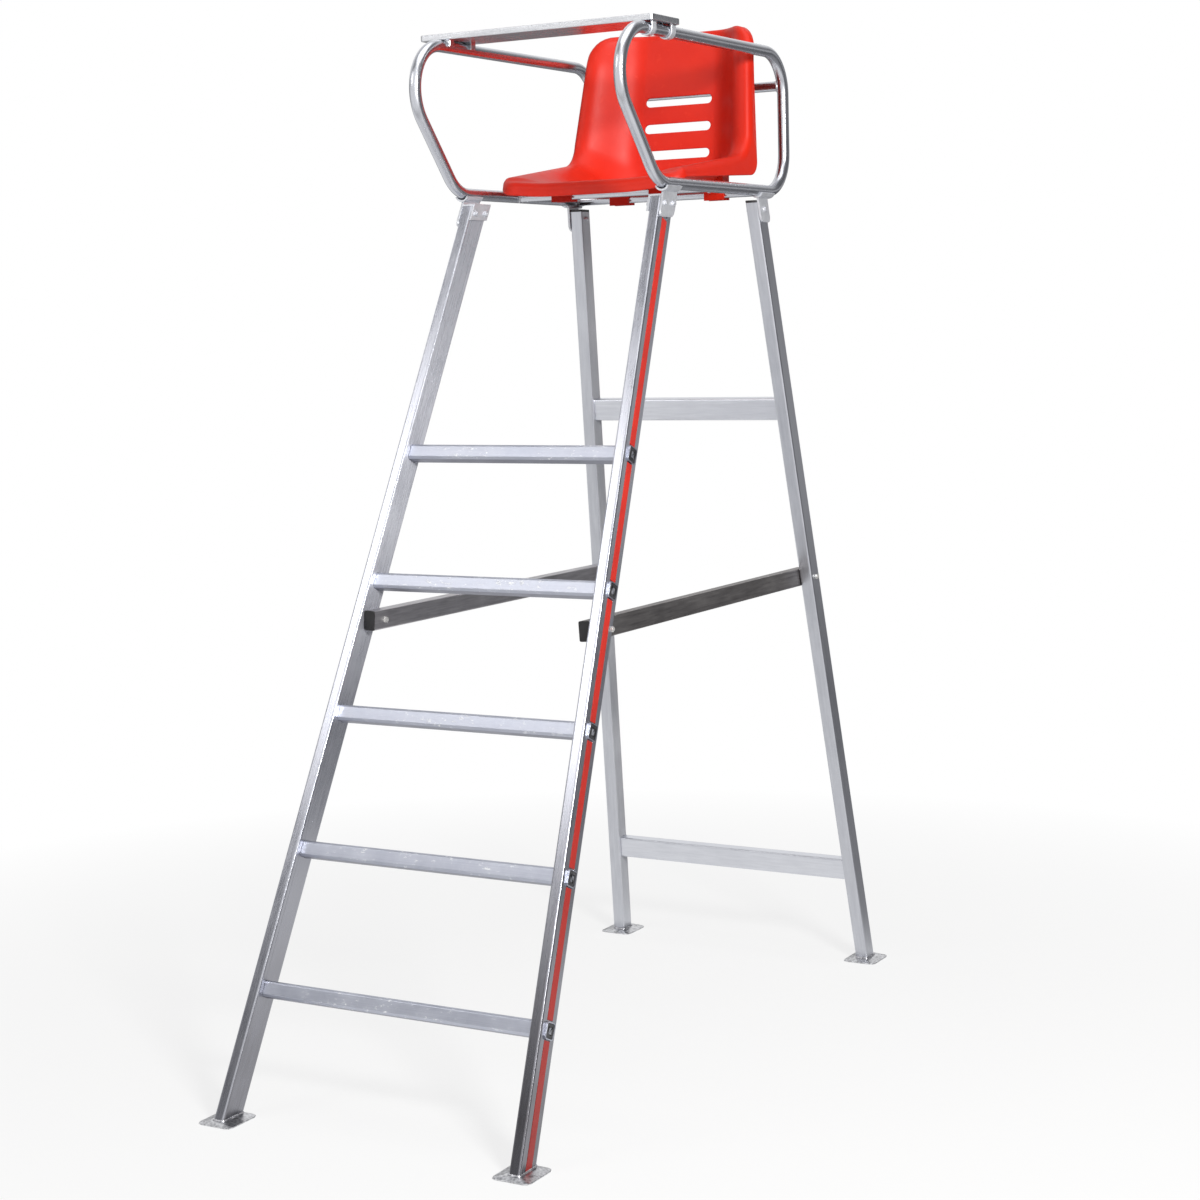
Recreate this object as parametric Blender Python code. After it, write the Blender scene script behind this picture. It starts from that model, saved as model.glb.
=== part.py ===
"""Umpire chair: ladder frame, arm loops, moulded bucket seat, and a writing tray hinged on the right arm.

Metres, +Z up. The ladder faces -Y, the floor is Z = 0, and the frame is symmetric about X = 0.
"""

import math

import bmesh
import bpy
from mathutils import Matrix, Vector
from mathutils.geometry import intersect_line_plane

# Clearances
GAP = 0.0003              # between pieces that touch
TURN_GAP = 0.0005         # between the tray's straps and the tube they turn on
HOLE_GAP = 0.0003         # round a bolt or a rung in its hole
BRACE_SEAT_GAP = 0.0006   # under a bolt head on a brace, whose face is not quite square to the bolt

# Stance
FOOT_SPAN = 1.551         # front feet to rear feet
LADDER_TRACK = 0.664      # between the stile axes at the floor
REAR_TRACK = 0.653        # between the rear leg axes at the floor
LEG_TOP = 1.757           # level cut at the top of all four legs

# Ladder
STILE_WIDTH = 0.024
STILE_DEPTH = 0.056
STILE_WALL = 0.0022
STILE_CORNER = 0.004
GROOVE_WIDTH = 0.020
GROOVE_DEPTH = 0.0014
STRIP_PROUD = 0.0006      # red strip above the stile's outer face
STRIP_END_GAP = 0.0015    # strip to rung plug
STRIP_FOOT_GAP = 0.022    # strip end above the foot plate
RUNG_COUNT = 5
RUNG_PITCH = 0.280
FIRST_RUNG = 0.256        # first rung above the floor, along the stile
RUNG_HEIGHT = 0.032
RUNG_DEPTH = 0.030
RUNG_WALL = 0.002
RUNG_CORNER = 0.005
RUNG_PROUD = 0.0008       # rung end outside the stile
PLUG_LIP = 0.001          # rung plug flange beyond the rung's outline
PLUG_FLANGE = 0.0025
PLUG_SPIGOT = 0.012
PLUG_BEVEL = 0.001

# Rear legs
LEG_WIDTH = 0.030
LEG_DEPTH = 0.040
LEG_WALL = 0.002
LEG_CORNER = 0.004
CAP_HEIGHT = 0.005
CAP_SPIGOT = 0.006
CROSSBAR_HEIGHTS = {"lower": 0.223, "upper": 1.304}
CROSSBAR_HEIGHT = 0.050
CROSSBAR_DEPTH = 0.025
CROSSBAR_WALL = 0.002
CROSSBAR_CORNER = 0.004

# Feet
FOOT_LENGTH = 0.090
FOOT_WIDTH = 0.080
FOOT_CORNER = 0.012
FOOT_EDGE = 0.0025        # upright edge of the pressed plate
FOOT_HEIGHT = 0.007
FOOT_MARGIN = 0.004       # flat top beyond the leg

# Side braces
BRACE_RUNG = 4            # the brace passes below this rung
BRACE_BELOW_RUNG = 0.0805  # brace axis to rung axis, along the stile
BRACE_HEIGHT = 0.040
BRACE_WIDTH = 0.025
BRACE_WALL = 0.002
BRACE_CORNER = 0.003
BRACE_FRONT_TAIL = 0.014  # beyond the stile axis
BRACE_REAR_TAIL = 0.014   # beyond the rear leg axis
BRACE_BOLT_BACK = 0.0195  # front bolt behind the stile axis, clear of the groove

# Arms
ARM_SPACING = 0.480       # between the planes of the two loops
ARM_RADIUS = 0.0125
ARM_LIFT = 0.026          # lower tube axis above the leg tops
ARM_HEIGHT = 0.302        # lower to upper tube axis
ARM_REAR = 0.588
ARM_ELBOW = -0.010        # where the raked front tube would meet the lower tube
ARM_RAKE = math.radians(50.3)
ARM_ELBOW_BEND = 0.090
ARM_NOSE_BEND = 0.095
ARM_REAR_BEND = 0.0875
STILE_BEHIND_ELBOW = 0.007   # stile axis behind the end of the elbow bend
LEG_BEFORE_BEND = 0.026      # rear leg axis ahead of the rear bend
TUBE_SIDES = 16
BEND_STEP = math.radians(13)

# Brackets
TAB_THICKNESS = 0.005
TAB_DROP = 0.043          # below the leg top
INNER_TAB_DROP = 0.030
FRONT_TAB_WIDTH = 0.062
REAR_TAB_WIDTH = 0.044
TAB_CORNER = 0.012
CUP_WALL = 0.004
CUP_LENGTH = 0.062
CUP_HALF_ANGLE = math.radians(68)
TAB_BOLT_DROP = 0.015
FRONT_BOLT_SPACING = 0.036

# Fasteners
BOLT_RADIUS = 0.003
HEAD_FLAT = 0.005         # half the width across flats
HEAD_HEIGHT = 0.004
WASHER_RADIUS = 0.0065
WASHER_HEIGHT = 0.0012
NUT_HEIGHT = 0.005
BOLT_TAIL = 0.002
BOLT_SIDES = 12

# Seat rails
RAIL_RADIUS = 0.011
RAIL_WALL = 0.002
FRONT_RAIL = 0.233
REAR_RAIL_BEFORE_BEND = 0.0105
BACK_RAIL_RISE = 0.234    # above the lower arm tubes

# Seat shell
SEAT_WALL = 0.0045
SEAT_SIDE_GAP = 0.0015    # widest rim to the arm tube
SEAT_OVERHANG = 0.103     # front crest ahead of the front rail
SEAT_SETBACK = 0.028      # foot of the back behind the rear rail
SEAT_NOSE_RISE = 0.005    # front crest above the pan
SEAT_BACK_HEIGHT = 0.340
SEAT_BACK_RAKE = math.radians(8.5)
SEAT_BEND = 0.075
SEAT_FRONT_TAPER = 0.003
SEAT_TOP_TAPER = 0.020
SEAT_FLAT = 0.095         # half width of the flat middle
WING_FORWARD = 0.077      # side walls ahead of the back at the bend
WING_RISE = 0.063         # side walls above the pan at the bend
WING_FRONT_RISE = 0.020
WING_FRONT_SHARE = 0.45   # of that rise left at the front edge itself
WING_LEAN = math.radians(11.3)
WING_BEND = 0.062
WING_FADE = 0.070         # length over which the wings sink into the top edge
WING_TOP_SHARE = 0.85
SEAT_FRONT_CORNER = 0.028
SEAT_TOP_CORNER = 0.042
LIP_OUT = 0.013
LIP_ROUND = 0.010
LIP_FLARE = 0.002
LIP_DROP = 0.028          # depth of the rim at the front and top edges
RIM_FRONT_DROP = 0.017    # free edge of the side rim below its crest, at the front
RIM_BEND_DROP = 0.0425    # and below and behind it where the seat bends
RIM_BEND_BACK = 0.037
RIM_TOP_BACK = 0.0135     # and behind it at the top
RIM_BEND = 0.030
SLOT_LENGTH = 0.166
SLOT_HEIGHT = 0.020
SLOT_PITCH = 0.060
SLOT_COUNT = 3
SLOT_RISE = 0.155         # middle slot above the seat rails
HOOK_SPACING = 0.240
HOOK_WIDTH = 0.048
HOOK_WALL = 0.004
HOOK_RISE = 0.040         # top of a hook above the rail's axis, where the shell is higher
HOOK_MOUTH = 0.017

# Writing tray
TRAY_LEFT = 0.052         # beyond the left arm's axis
TRAY_RIGHT = 0.022        # beyond the right arm's axis
TRAY_DEPTH = 0.120
TRAY_BEHIND_NOSE = 0.0634  # middle of the tray behind the end of the arm's nose bend
TRAY_HEIGHT = 0.0125
TRAY_WALL = 0.0025
TRAY_CORNER = 0.009
STRAP_SPACING = 0.082
STRAP_WIDTH = 0.018
STRAP_THICKNESS = 0.003
CHEEK_THICKNESS = 0.004

ARM_X = ARM_SPACING / 2
ARM_LOW = LEG_TOP + ARM_LIFT
ARM_HIGH = ARM_LOW + ARM_HEIGHT
REAR_RAIL = ARM_REAR - ARM_REAR_BEND - REAR_RAIL_BEFORE_BEND
LADDER_TOP = ARM_ELBOW + ARM_ELBOW_BEND * math.tan(ARM_RAKE / 2) + STILE_BEHIND_ELBOW
REAR_TOP = ARM_REAR - ARM_REAR_BEND - LEG_BEFORE_BEND
ARM_NOSE = ARM_ELBOW - ARM_HEIGHT / math.tan(ARM_RAKE)
TRAY_Y = ARM_NOSE + ARM_NOSE_BEND / math.tan(ARM_RAKE / 2) + TRAY_BEHIND_NOSE
SIDES = {"left": -1, "right": 1}
ALONG_Y = Matrix(((1, 0, 0, 0), (0, 0, 1, 0), (0, 1, 0, 0), (0, 0, 0, 1)))


def clear_scene():
    for item in list(bpy.data.objects):
        bpy.data.objects.remove(item, do_unlink=True)


def material(name, colour, roughness, metallic):
    made = bpy.data.materials.new(name)
    made.use_nodes = True
    shader = made.node_tree.nodes["Principled BSDF"]
    shader.inputs["Base Color"].default_value = (*colour, 1.0)
    shader.inputs["Roughness"].default_value = roughness
    shader.inputs["Metallic"].default_value = metallic
    return made


def add_object(name, bm, finish, matrix=None, parent=None):
    """Turns a bmesh into a named object, with a solid's faces out and its round sides smooth."""
    if all(edge.is_manifold for edge in bm.edges):
        bmesh.ops.recalc_face_normals(bm, faces=bm.faces)
    mesh = bpy.data.meshes.new(name)
    bm.to_mesh(mesh)
    bm.free()
    mesh.materials.append(finish)
    mesh.shade_smooth()
    mesh.set_sharp_from_angle(angle=math.radians(32))
    return place_object(name, mesh, matrix, parent)


def place_object(name, mesh, matrix=None, parent=None):
    made = bpy.data.objects.new(name, mesh)
    bpy.context.collection.objects.link(made)
    if parent:
        made.parent = parent
    if matrix:
        made.matrix_local = matrix
    return made


def add_tool(name, bm, finish):
    """A hidden shape that other pieces are cut by or joined with."""
    tool = add_object(name, bm, finish)
    tool.hide_render = True
    tool.display_type = "WIRE"
    return tool


def combine(piece, tool, operation):
    step = piece.modifiers.new(f"{operation.lower()}_{tool.name}", "BOOLEAN")
    step.operation = operation
    step.solver = "EXACT"
    step.object = tool


def frame(x_axis, y_axis, z_axis, origin):
    turn = Matrix((x_axis, y_axis, z_axis)).transposed().to_4x4()
    return Matrix.Translation(origin) @ turn


def ring(bm, points, matrix=None):
    matrix = matrix or Matrix.Identity(4)
    return [bm.verts.new(matrix @ Vector(point)) for point in points]


def skin(bm, rings, closed=False):
    """Quads between neighbouring rings of equally many points."""
    following = rings[1:] + rings[:1] if closed else rings[1:]
    for first, second in zip(rings, following):
        for index in range(len(first)):
            after = (index + 1) % len(first)
            bm.faces.new((first[index], first[after], second[after], second[index]))


def at_height(outline, height):
    """Lifts a flat outline to a height, or onto a slanted cut given as a function of the point."""
    if callable(height):
        return [(x, y, height(x, y)) for x, y in outline]
    return [(x, y, height) for x, y in outline]


def hollow_bar(bm, outer, inner, low, high, matrix=None):
    levels = ((outer, low), (outer, high), (inner, high), (inner, low))
    skin(bm, [ring(bm, at_height(line, height), matrix) for line, height in levels], closed=True)


def solid_bar(bm, levels, matrix=None):
    """A closed solid through a list of (outline, height), capped at both ends."""
    rings = [ring(bm, at_height(line, height), matrix) for line, height in levels]
    skin(bm, rings)
    bm.faces.new(rings[0])
    bm.faces.new(rings[-1])


def rounded_rect(width, depth, radius, steps=2):
    points = []
    for quarter in range(4):
        start = quarter * math.pi / 2
        middle = start + math.pi / 4
        centre_x = math.copysign(width / 2 - radius, math.cos(middle))
        centre_y = math.copysign(depth / 2 - radius, math.sin(middle))
        for step in range(steps + 1):
            angle = start + step / steps * math.pi / 2
            points.append((centre_x + radius * math.cos(angle), centre_y + radius * math.sin(angle)))
    return points


def inset_rect(width, depth, corner, inset):
    """A rounded rectangle moved in by a wall, or out where the inset is negative."""
    least = corner / 4
    return rounded_rect(width - 2 * inset, depth - 2 * inset, max(corner - inset, least))


def circle(radius, sides):
    turn = math.tau / sides
    return [(radius * math.cos(turn * k), radius * math.sin(turn * k)) for k in range(sides)]


def hexagon(flat, sides):
    """Hexagon with extra points along its flats, so that it joins a round ring."""
    points = []
    for k in range(sides):
        angle = math.tau * k / sides
        from_flat = (angle + math.pi / 6) % (math.pi / 3) - math.pi / 6
        reach = flat / math.cos(from_flat)
        points.append((reach * math.cos(angle), reach * math.sin(angle)))
    return points


class Leg:
    """A straight leg, from its foot to the level cut under an arm, with its across and back directions."""

    def __init__(self, side, foot, top, width, depth):
        self.side = side
        self.width = width
        self.depth = depth
        self.foot = Vector((side * foot[0], foot[1], 0))
        run = Vector((side * top[0], top[1], LEG_TOP)) - self.foot
        self.along = run.normalized()
        self.lean = math.atan2(run.y, run.z)
        self.back = Vector((0, math.cos(self.lean), -math.sin(self.lean)))
        self.across = self.back.cross(self.along)
        self.matrix = frame(self.across, self.back, self.along, self.foot)

    def axis_at(self, height):
        return self.foot + self.along * self.run_to(height)

    def run_to(self, height):
        return height / self.along.z

    def face_point(self, outboard, y, z):
        """Point at y and z on the plane that lies the given distance outboard of the leg's axis."""
        away = self.side * outboard - (y - self.foot.y) * self.across.y - z * self.across.z
        return Vector((self.foot.x + away / self.across.x, y, z))

    def level(self, height):
        """Cut along the leg that comes out level at a height above the floor."""
        return lambda x, y: (height - x * self.across.z - y * self.back.z) / self.along.z

    def bolt_frame(self, y, z):
        """Frame with its Z axis outboard, through a point of the leg's middle plane."""
        outward = self.across * self.side
        return frame(self.along, outward.cross(self.along), outward, self.face_point(0, y, z))


def make_legs():
    ladder_top_x = ARM_X - TAB_THICKNESS / 2 - GAP - STILE_WIDTH / 2
    rear_top_x = ARM_X - TAB_THICKNESS / 2 - GAP - LEG_WIDTH / 2
    front_foot = (LADDER_TRACK / 2, -FOOT_SPAN / 2)
    rear_foot = (REAR_TRACK / 2, FOOT_SPAN / 2)
    front = {}
    rear = {}
    for name, side in SIDES.items():
        front[name] = Leg(side, front_foot, (ladder_top_x, LADDER_TOP), STILE_WIDTH, STILE_DEPTH)
        rear[name] = Leg(side, rear_foot, (rear_top_x, REAR_TOP), LEG_WIDTH, LEG_DEPTH)
    return front, rear


def rung_run(number):
    """Distance of a rung's axis from the floor, along the stile."""
    return FIRST_RUNG + (number - 1) * RUNG_PITCH


def rung_outline(inset):
    """Section of a rung across its length, with a broad bevel at the lower front edge."""
    points = inset_rect(RUNG_DEPTH, RUNG_HEIGHT, RUNG_CORNER, inset)
    slant = (RUNG_DEPTH + RUNG_HEIGHT) / 2 - RUNG_CORNER - inset * math.sqrt(2)
    cut = []
    for x, y in points:
        over = max(0.0, -x - y - slant)
        cut.append((x + over / 2, y + over / 2))
    return cut


def rung_frame(stile, number):
    centre = stile.foot + stile.along * rung_run(number)
    upward = Vector((0, math.sin(stile.lean), math.cos(stile.lean)))
    return frame(stile.back, upward, Vector((1, 0, 0)), Vector((0, centre.y, centre.z)))


def rung_half_length(stile, number):
    matrix = rung_frame(stile, number)
    outside = 0.0
    for x, y in rung_outline(0):
        corner = matrix @ Vector((x, y, 0))
        outside = max(outside, abs(stile.face_point(stile.width / 2, corner.y, corner.z).x))
    return outside + RUNG_PROUD


def stile_outline(side, inset):
    """Stile section with a shallow groove in its outer face, which the wall follows."""
    points = inset_rect(STILE_WIDTH, STILE_DEPTH, STILE_CORNER, inset)
    face = STILE_WIDTH / 2 - inset
    floor = face - GROOVE_DEPTH
    half = GROOVE_WIDTH / 2 + inset
    points += [(face, -half), (floor, -half), (floor, half), (face, half)]
    return [(side * x, y) for x, y in points]


def ladder_stile(name, stile, finish, rung_holes, bolt_holes):
    bm = bmesh.new()
    outer = stile_outline(stile.side, 0)
    inner = stile_outline(stile.side, STILE_WALL)
    hollow_bar(bm, outer, inner, stile.level(FOOT_HEIGHT + GAP), stile.level(LEG_TOP))
    made = add_object(f"ladder_stile_{name}", bm, finish, stile.matrix)
    combine(made, rung_holes, "DIFFERENCE")
    combine(made, bolt_holes, "DIFFERENCE")


def cut_rung_holes(stile, finish):
    bm = bmesh.new()
    for number in range(1, RUNG_COUNT + 1):
        reach = rung_half_length(stile, number) + PLUG_SPIGOT
        outline = rung_outline(-HOLE_GAP)
        solid_bar(bm, [(outline, -reach), (outline, reach)], rung_frame(stile, number))
    return add_tool("rung_holes", bm, finish)


def rung(stile, number, finish):
    bm = bmesh.new()
    half = rung_half_length(stile, number)
    hollow_bar(bm, rung_outline(0), rung_outline(RUNG_WALL), -half, half)
    add_object(f"rung_{number}", bm, finish, rung_frame(stile, number))


def rung_end_plugs(stile, finish):
    """Plugs pressed into the rung ends; those on one side share a shape."""
    flange = rung_outline(-PLUG_LIP)
    face = rung_outline(PLUG_BEVEL - PLUG_LIP)
    spigot = rung_outline(RUNG_WALL + GAP)
    for name, side in SIDES.items():
        bm = bmesh.new()
        levels = [
            (face, side * PLUG_FLANGE),
            (flange, side * (PLUG_FLANGE - PLUG_BEVEL)),
            (flange, 0),
            (spigot, 0),
            (spigot, -side * PLUG_SPIGOT),
        ]
        solid_bar(bm, levels)
        shape = None
        for number in range(1, RUNG_COUNT + 1):
            seat = side * (rung_half_length(stile, number) + GAP)
            place = rung_frame(stile, number) @ Matrix.Translation((0, 0, seat))
            label = f"rung_plug_{name}_{number}"
            if shape:
                place_object(label, shape, place)
            else:
                shape = add_object(label, bm, finish, place).data


def stile_strips(name, stile, finish):
    """Lengths of strip pressed into the groove between the rung plugs."""
    keep_out = RUNG_HEIGHT / 2 + PLUG_LIP + STRIP_END_GAP
    slant = GROOVE_WIDTH / 2 * math.tan(stile.lean)
    start = stile.run_to(FOOT_HEIGHT) + slant + STRIP_FOOT_GAP
    last_end = stile.run_to(LEG_TOP - TAB_DROP) - slant - STRIP_END_GAP
    back = STILE_WIDTH / 2 - GROOVE_DEPTH + GAP
    front = STILE_WIDTH / 2 + STRIP_PROUD
    half = GROOVE_WIDTH / 2 - GAP
    corners = ((back, -half), (front, -half), (front, half), (back, half))
    outline = [(stile.side * x, y) for x, y in corners]
    for number in range(1, RUNG_COUNT + 2):
        end = last_end if number > RUNG_COUNT else rung_run(number) - keep_out
        bm = bmesh.new()
        solid_bar(bm, [(outline, start), (outline, end)])
        add_object(f"stile_strip_{name}_{number}", bm, finish, stile.matrix)
        start = rung_run(number) + keep_out


def rear_leg(name, leg, finish, bolt_holes):
    bm = bmesh.new()
    outer = inset_rect(LEG_WIDTH, LEG_DEPTH, LEG_CORNER, 0)
    inner = inset_rect(LEG_WIDTH, LEG_DEPTH, LEG_CORNER, LEG_WALL)
    hollow_bar(bm, outer, inner, leg.level(FOOT_HEIGHT + GAP), leg.level(LEG_TOP))
    made = add_object(f"rear_leg_{name}", bm, finish, leg.matrix)
    combine(made, bolt_holes, "DIFFERENCE")


def rear_leg_cap(name, leg, finish):
    bm = bmesh.new()
    outer = inset_rect(LEG_WIDTH, LEG_DEPTH, LEG_CORNER, 0)
    face = inset_rect(LEG_WIDTH, LEG_DEPTH, LEG_CORNER, PLUG_BEVEL)
    spigot = inset_rect(LEG_WIDTH, LEG_DEPTH, LEG_CORNER, LEG_WALL + GAP)
    seat = LEG_TOP + GAP
    levels = [
        (face, leg.level(seat + CAP_HEIGHT)),
        (outer, leg.level(seat + CAP_HEIGHT - PLUG_BEVEL)),
        (outer, leg.level(seat)),
        (spigot, leg.level(seat)),
        (spigot, leg.level(seat - CAP_SPIGOT)),
    ]
    solid_bar(bm, levels)
    add_object(f"rear_leg_cap_{name}", bm, finish, leg.matrix)


def rear_crossbar(name, height, leg, finish):
    """Tube between the rear legs, its ends cut to the splay of their inner faces."""
    bm = bmesh.new()
    centre = leg.axis_at(height)
    upward = Vector((0, math.sin(leg.lean), math.cos(leg.lean)))
    matrix = frame(leg.back, upward, Vector((1, 0, 0)), Vector((0, centre.y, centre.z)))

    def end(x, y):
        point = matrix @ Vector((x, y, 0))
        return leg.face_point(-leg.width / 2 - GAP, point.y, point.z).x

    outer = inset_rect(CROSSBAR_DEPTH, CROSSBAR_HEIGHT, CROSSBAR_CORNER, 0)
    inner = inset_rect(CROSSBAR_DEPTH, CROSSBAR_HEIGHT, CROSSBAR_CORNER, CROSSBAR_WALL)
    hollow_bar(bm, outer, inner, lambda x, y: -end(x, y), end)
    add_object(f"rear_crossbar_{name}", bm, finish, matrix)


def foot_plates(front, rear, finish):
    """Pressed plates with a flat top that the slanted legs stand on."""
    top_width = max(STILE_WIDTH, LEG_WIDTH) + 2 * FOOT_MARGIN
    top_length = STILE_DEPTH / math.cos(front["right"].lean) + 2 * FOOT_MARGIN
    base = rounded_rect(FOOT_WIDTH, FOOT_LENGTH, FOOT_CORNER)
    top = rounded_rect(top_width, top_length, FOOT_CORNER / 2)
    bm = bmesh.new()
    solid_bar(bm, [(base, 0), (base, FOOT_EDGE), (top, FOOT_HEIGHT)])
    shape = add_object("foot_plate_front_left", bm, finish, Matrix.Translation(front["left"].foot)).data
    place_object("foot_plate_front_right", shape, Matrix.Translation(front["right"].foot))
    for name, leg in rear.items():
        place_object(f"foot_plate_rear_{name}", shape, Matrix.Translation(leg.foot))


class Brace:
    """Level tube on the inner faces of a stile and a rear leg, tilted to lie along both."""

    def __init__(self, stile, leg):
        side = stile.side
        height = (stile.foot + stile.along * (rung_run(BRACE_RUNG) - BRACE_BELOW_RUNG)).z
        ends = [post.axis_at(height) for post in (stile, leg)]
        touch = [
            post.face_point(-post.width / 2, end.y, end.z) for post, end in zip((stile, leg), ends)
        ]
        outward = (stile.across + leg.across).normalized() * side
        for _ in range(2):
            along = (touch[1] - touch[0]).normalized()
            normal = (outward - along * outward.dot(along)).normalized()
            upward = normal.cross(along) * side
            touch = [
                point - normal * self.overlap(post, point, along, upward)
                for post, point in zip((stile, leg), touch)
            ]
        self.height = height
        self.normal = normal
        self.along = along
        self.front = touch[0]
        self.length = (touch[1] - touch[0]).length
        self.inner_face = touch[0] - normal * BRACE_WIDTH
        centre = touch[0] - normal * (BRACE_WIDTH / 2)
        self.matrix = frame(upward, normal * side, along, centre)

    def overlap(self, post, point, along, upward):
        """How far the brace must move in from this point to clear the post by a gap."""
        reach = post.depth / 2 / math.cos(post.lean)
        deepest = -1.0
        for back in (-reach, reach):
            for lift in (-BRACE_HEIGHT / 2, BRACE_HEIGHT / 2):
                corner = point + along * back + upward * lift
                outboard = (corner - post.foot).dot(post.across) * post.side
                deepest = max(deepest, outboard + post.width / 2)
        return deepest + GAP

    def grip(self, matrix):
        """Distance from a bolt frame's origin, inboard along the bolt, to the brace's inner face."""
        start = matrix.to_translation()
        inboard = matrix.to_3x3() @ Vector((0, 0, -1))
        hit = intersect_line_plane(start, start + inboard, self.inner_face, self.normal)
        return (hit - start).dot(inboard)


def side_brace(name, brace, finish, bolt_holes):
    bm = bmesh.new()
    outer = inset_rect(BRACE_HEIGHT, BRACE_WIDTH, BRACE_CORNER, 0)
    inner = inset_rect(BRACE_HEIGHT, BRACE_WIDTH, BRACE_CORNER, BRACE_WALL)
    hollow_bar(bm, outer, inner, -BRACE_FRONT_TAIL, brace.length + BRACE_REAR_TAIL)
    made = add_object(f"side_brace_{name}", bm, finish, brace.matrix)
    combine(made, bolt_holes, "DIFFERENCE")


def brace_plug(name, brace, finish):
    """Plug in the brace's front end, which shows inside the ladder."""
    bm = bmesh.new()
    outer = inset_rect(BRACE_HEIGHT, BRACE_WIDTH, BRACE_CORNER, 0)
    face = inset_rect(BRACE_HEIGHT, BRACE_WIDTH, BRACE_CORNER, PLUG_BEVEL)
    spigot = inset_rect(BRACE_HEIGHT, BRACE_WIDTH, BRACE_CORNER, BRACE_WALL + GAP)
    seat = -BRACE_FRONT_TAIL - GAP
    levels = [
        (face, seat - PLUG_FLANGE),
        (outer, seat - PLUG_FLANGE + PLUG_BEVEL),
        (outer, seat),
        (spigot, seat),
        (spigot, seat + PLUG_SPIGOT),
    ]
    solid_bar(bm, levels)
    add_object(f"brace_plug_{name}", bm, finish, brace.matrix)


def add_bolt(bm, matrix, head, nut):
    """Bolt with its washer and nut along the frame's Z axis, between the faces they bear on."""
    way = 1 if head > nut else -1
    six = hexagon(HEAD_FLAT, BOLT_SIDES)
    shank = circle(BOLT_RADIUS, BOLT_SIDES)
    washer = circle(WASHER_RADIUS, BOLT_SIDES)
    washer_top = head + way * WASHER_HEIGHT
    nut_end = nut - way * NUT_HEIGHT
    levels = [
        (six, washer_top + way * HEAD_HEIGHT),
        (six, washer_top),
        (washer, washer_top),
        (washer, head),
        (shank, head),
        (shank, nut),
        (six, nut),
        (six, nut_end),
        (shank, nut_end),
        (shank, nut_end - way * BOLT_TAIL),
    ]
    solid_bar(bm, levels, matrix)


def bracket_bolt_places(post, forked):
    """Bolt frames on a bracket: two side by side on a stile, one on a rear leg."""
    height = LEG_TOP - TAB_BOLT_DROP
    middle = post.axis_at(height).y
    offsets = (-FRONT_BOLT_SPACING / 2, FRONT_BOLT_SPACING / 2) if forked else (0.0,)
    return [post.bolt_frame(middle + offset, height) for offset in offsets]


def brace_bolts(name, brace, stile, leg, finish):
    """Bolts through the brace and each post, their nuts on the outside; returns their frames."""
    behind = stile.axis_at(brace.height).y + BRACE_BOLT_BACK / math.cos(stile.lean)
    places = []
    for end, post, y in (("front", stile, behind), ("rear", leg, leg.axis_at(brace.height).y)):
        matrix = post.bolt_frame(y, brace.height)
        bm = bmesh.new()
        add_bolt(bm, matrix, -brace.grip(matrix) - BRACE_SEAT_GAP, post.width / 2 + GAP)
        add_object(f"brace_bolt_{end}_{name}", bm, finish)
        places.append(matrix)
    return places


def cut_bolt_holes(places, finish):
    """One cutter for every bolt, long enough for a brace and a post together."""
    bm = bmesh.new()
    hole = circle(BOLT_RADIUS + HOLE_GAP, BOLT_SIDES)
    reach = STILE_DEPTH
    for matrix in places:
        solid_bar(bm, [(hole, -reach), (hole, reach)], matrix)
    return add_tool("bolt_holes", bm, finish)


def tab_outline(width, top, bottom):
    """Upright tab in its own plane, with round lower corners."""
    half = width / 2
    points = [(half, top), (-half, top)]
    for quarter, centre in ((2, -half + TAB_CORNER), (3, half - TAB_CORNER)):
        for step in range(4):
            angle = (quarter + step / 3) * math.pi / 2
            reach = TAB_CORNER * math.cos(angle)
            points.append((centre + reach, bottom + TAB_CORNER * (1 + math.sin(angle))))
    return points


def sheared_plate(bm, post, outline, inner, outer):
    """A plate along the leg: its outline leans with the leg, between two distances outboard of the axis."""
    rings = []
    for outboard in (inner, outer):
        points = [post.face_point(outboard, post.axis_at(z).y + y, z) for y, z in outline]
        rings.append(ring(bm, points))
    skin(bm, rings)
    bm.faces.new(rings[0])
    bm.faces.new(rings[1])


def cup(bm, side, y, inboard_angle):
    """Half pipe under the arm's lower tube, from an angle inboard of its lowest line round to the outside."""
    inner = ARM_RADIUS + GAP
    outer = inner + CUP_WALL
    steps = 10
    profile = []
    for radius, way in ((inner, 1), (outer, -1)):
        for step in range(steps + 1):
            share = step / steps if way > 0 else 1 - step / steps
            angle = share * (CUP_HALF_ANGLE + inboard_angle) - inboard_angle
            profile.append((side * (ARM_X + radius * math.sin(angle)), ARM_LOW - radius * math.cos(angle)))
    rings = [ring(bm, [(x, y + end, z) for x, z in profile]) for end in (-CUP_LENGTH / 2, CUP_LENGTH / 2)]
    skin(bm, rings)
    bm.faces.new(rings[0])
    bm.faces.new(rings[1])


def fork(bm, post, width, near, far):
    """Plate over the stile's level top and down its inner face."""
    half = width / 2 - GAP
    middle = (near + far) / 2
    bridge_low = LEG_TOP + GAP
    bridge_high = bridge_low + CUP_WALL
    inner_low = LEG_TOP - INNER_TAB_DROP
    profile = [
        (middle, bridge_low),
        (middle, bridge_high),
        (-far, bridge_high),
        (-far, inner_low),
        (-near, inner_low),
        (-near, bridge_low),
    ]
    rings = []
    for y in (-half, half):
        rings.append(ring(bm, [post.face_point(out, post.axis_at(z).y + y, z) for out, z in profile]))
    skin(bm, rings)
    bm.faces.new(rings[0])
    bm.faces.new(rings[1])


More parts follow.
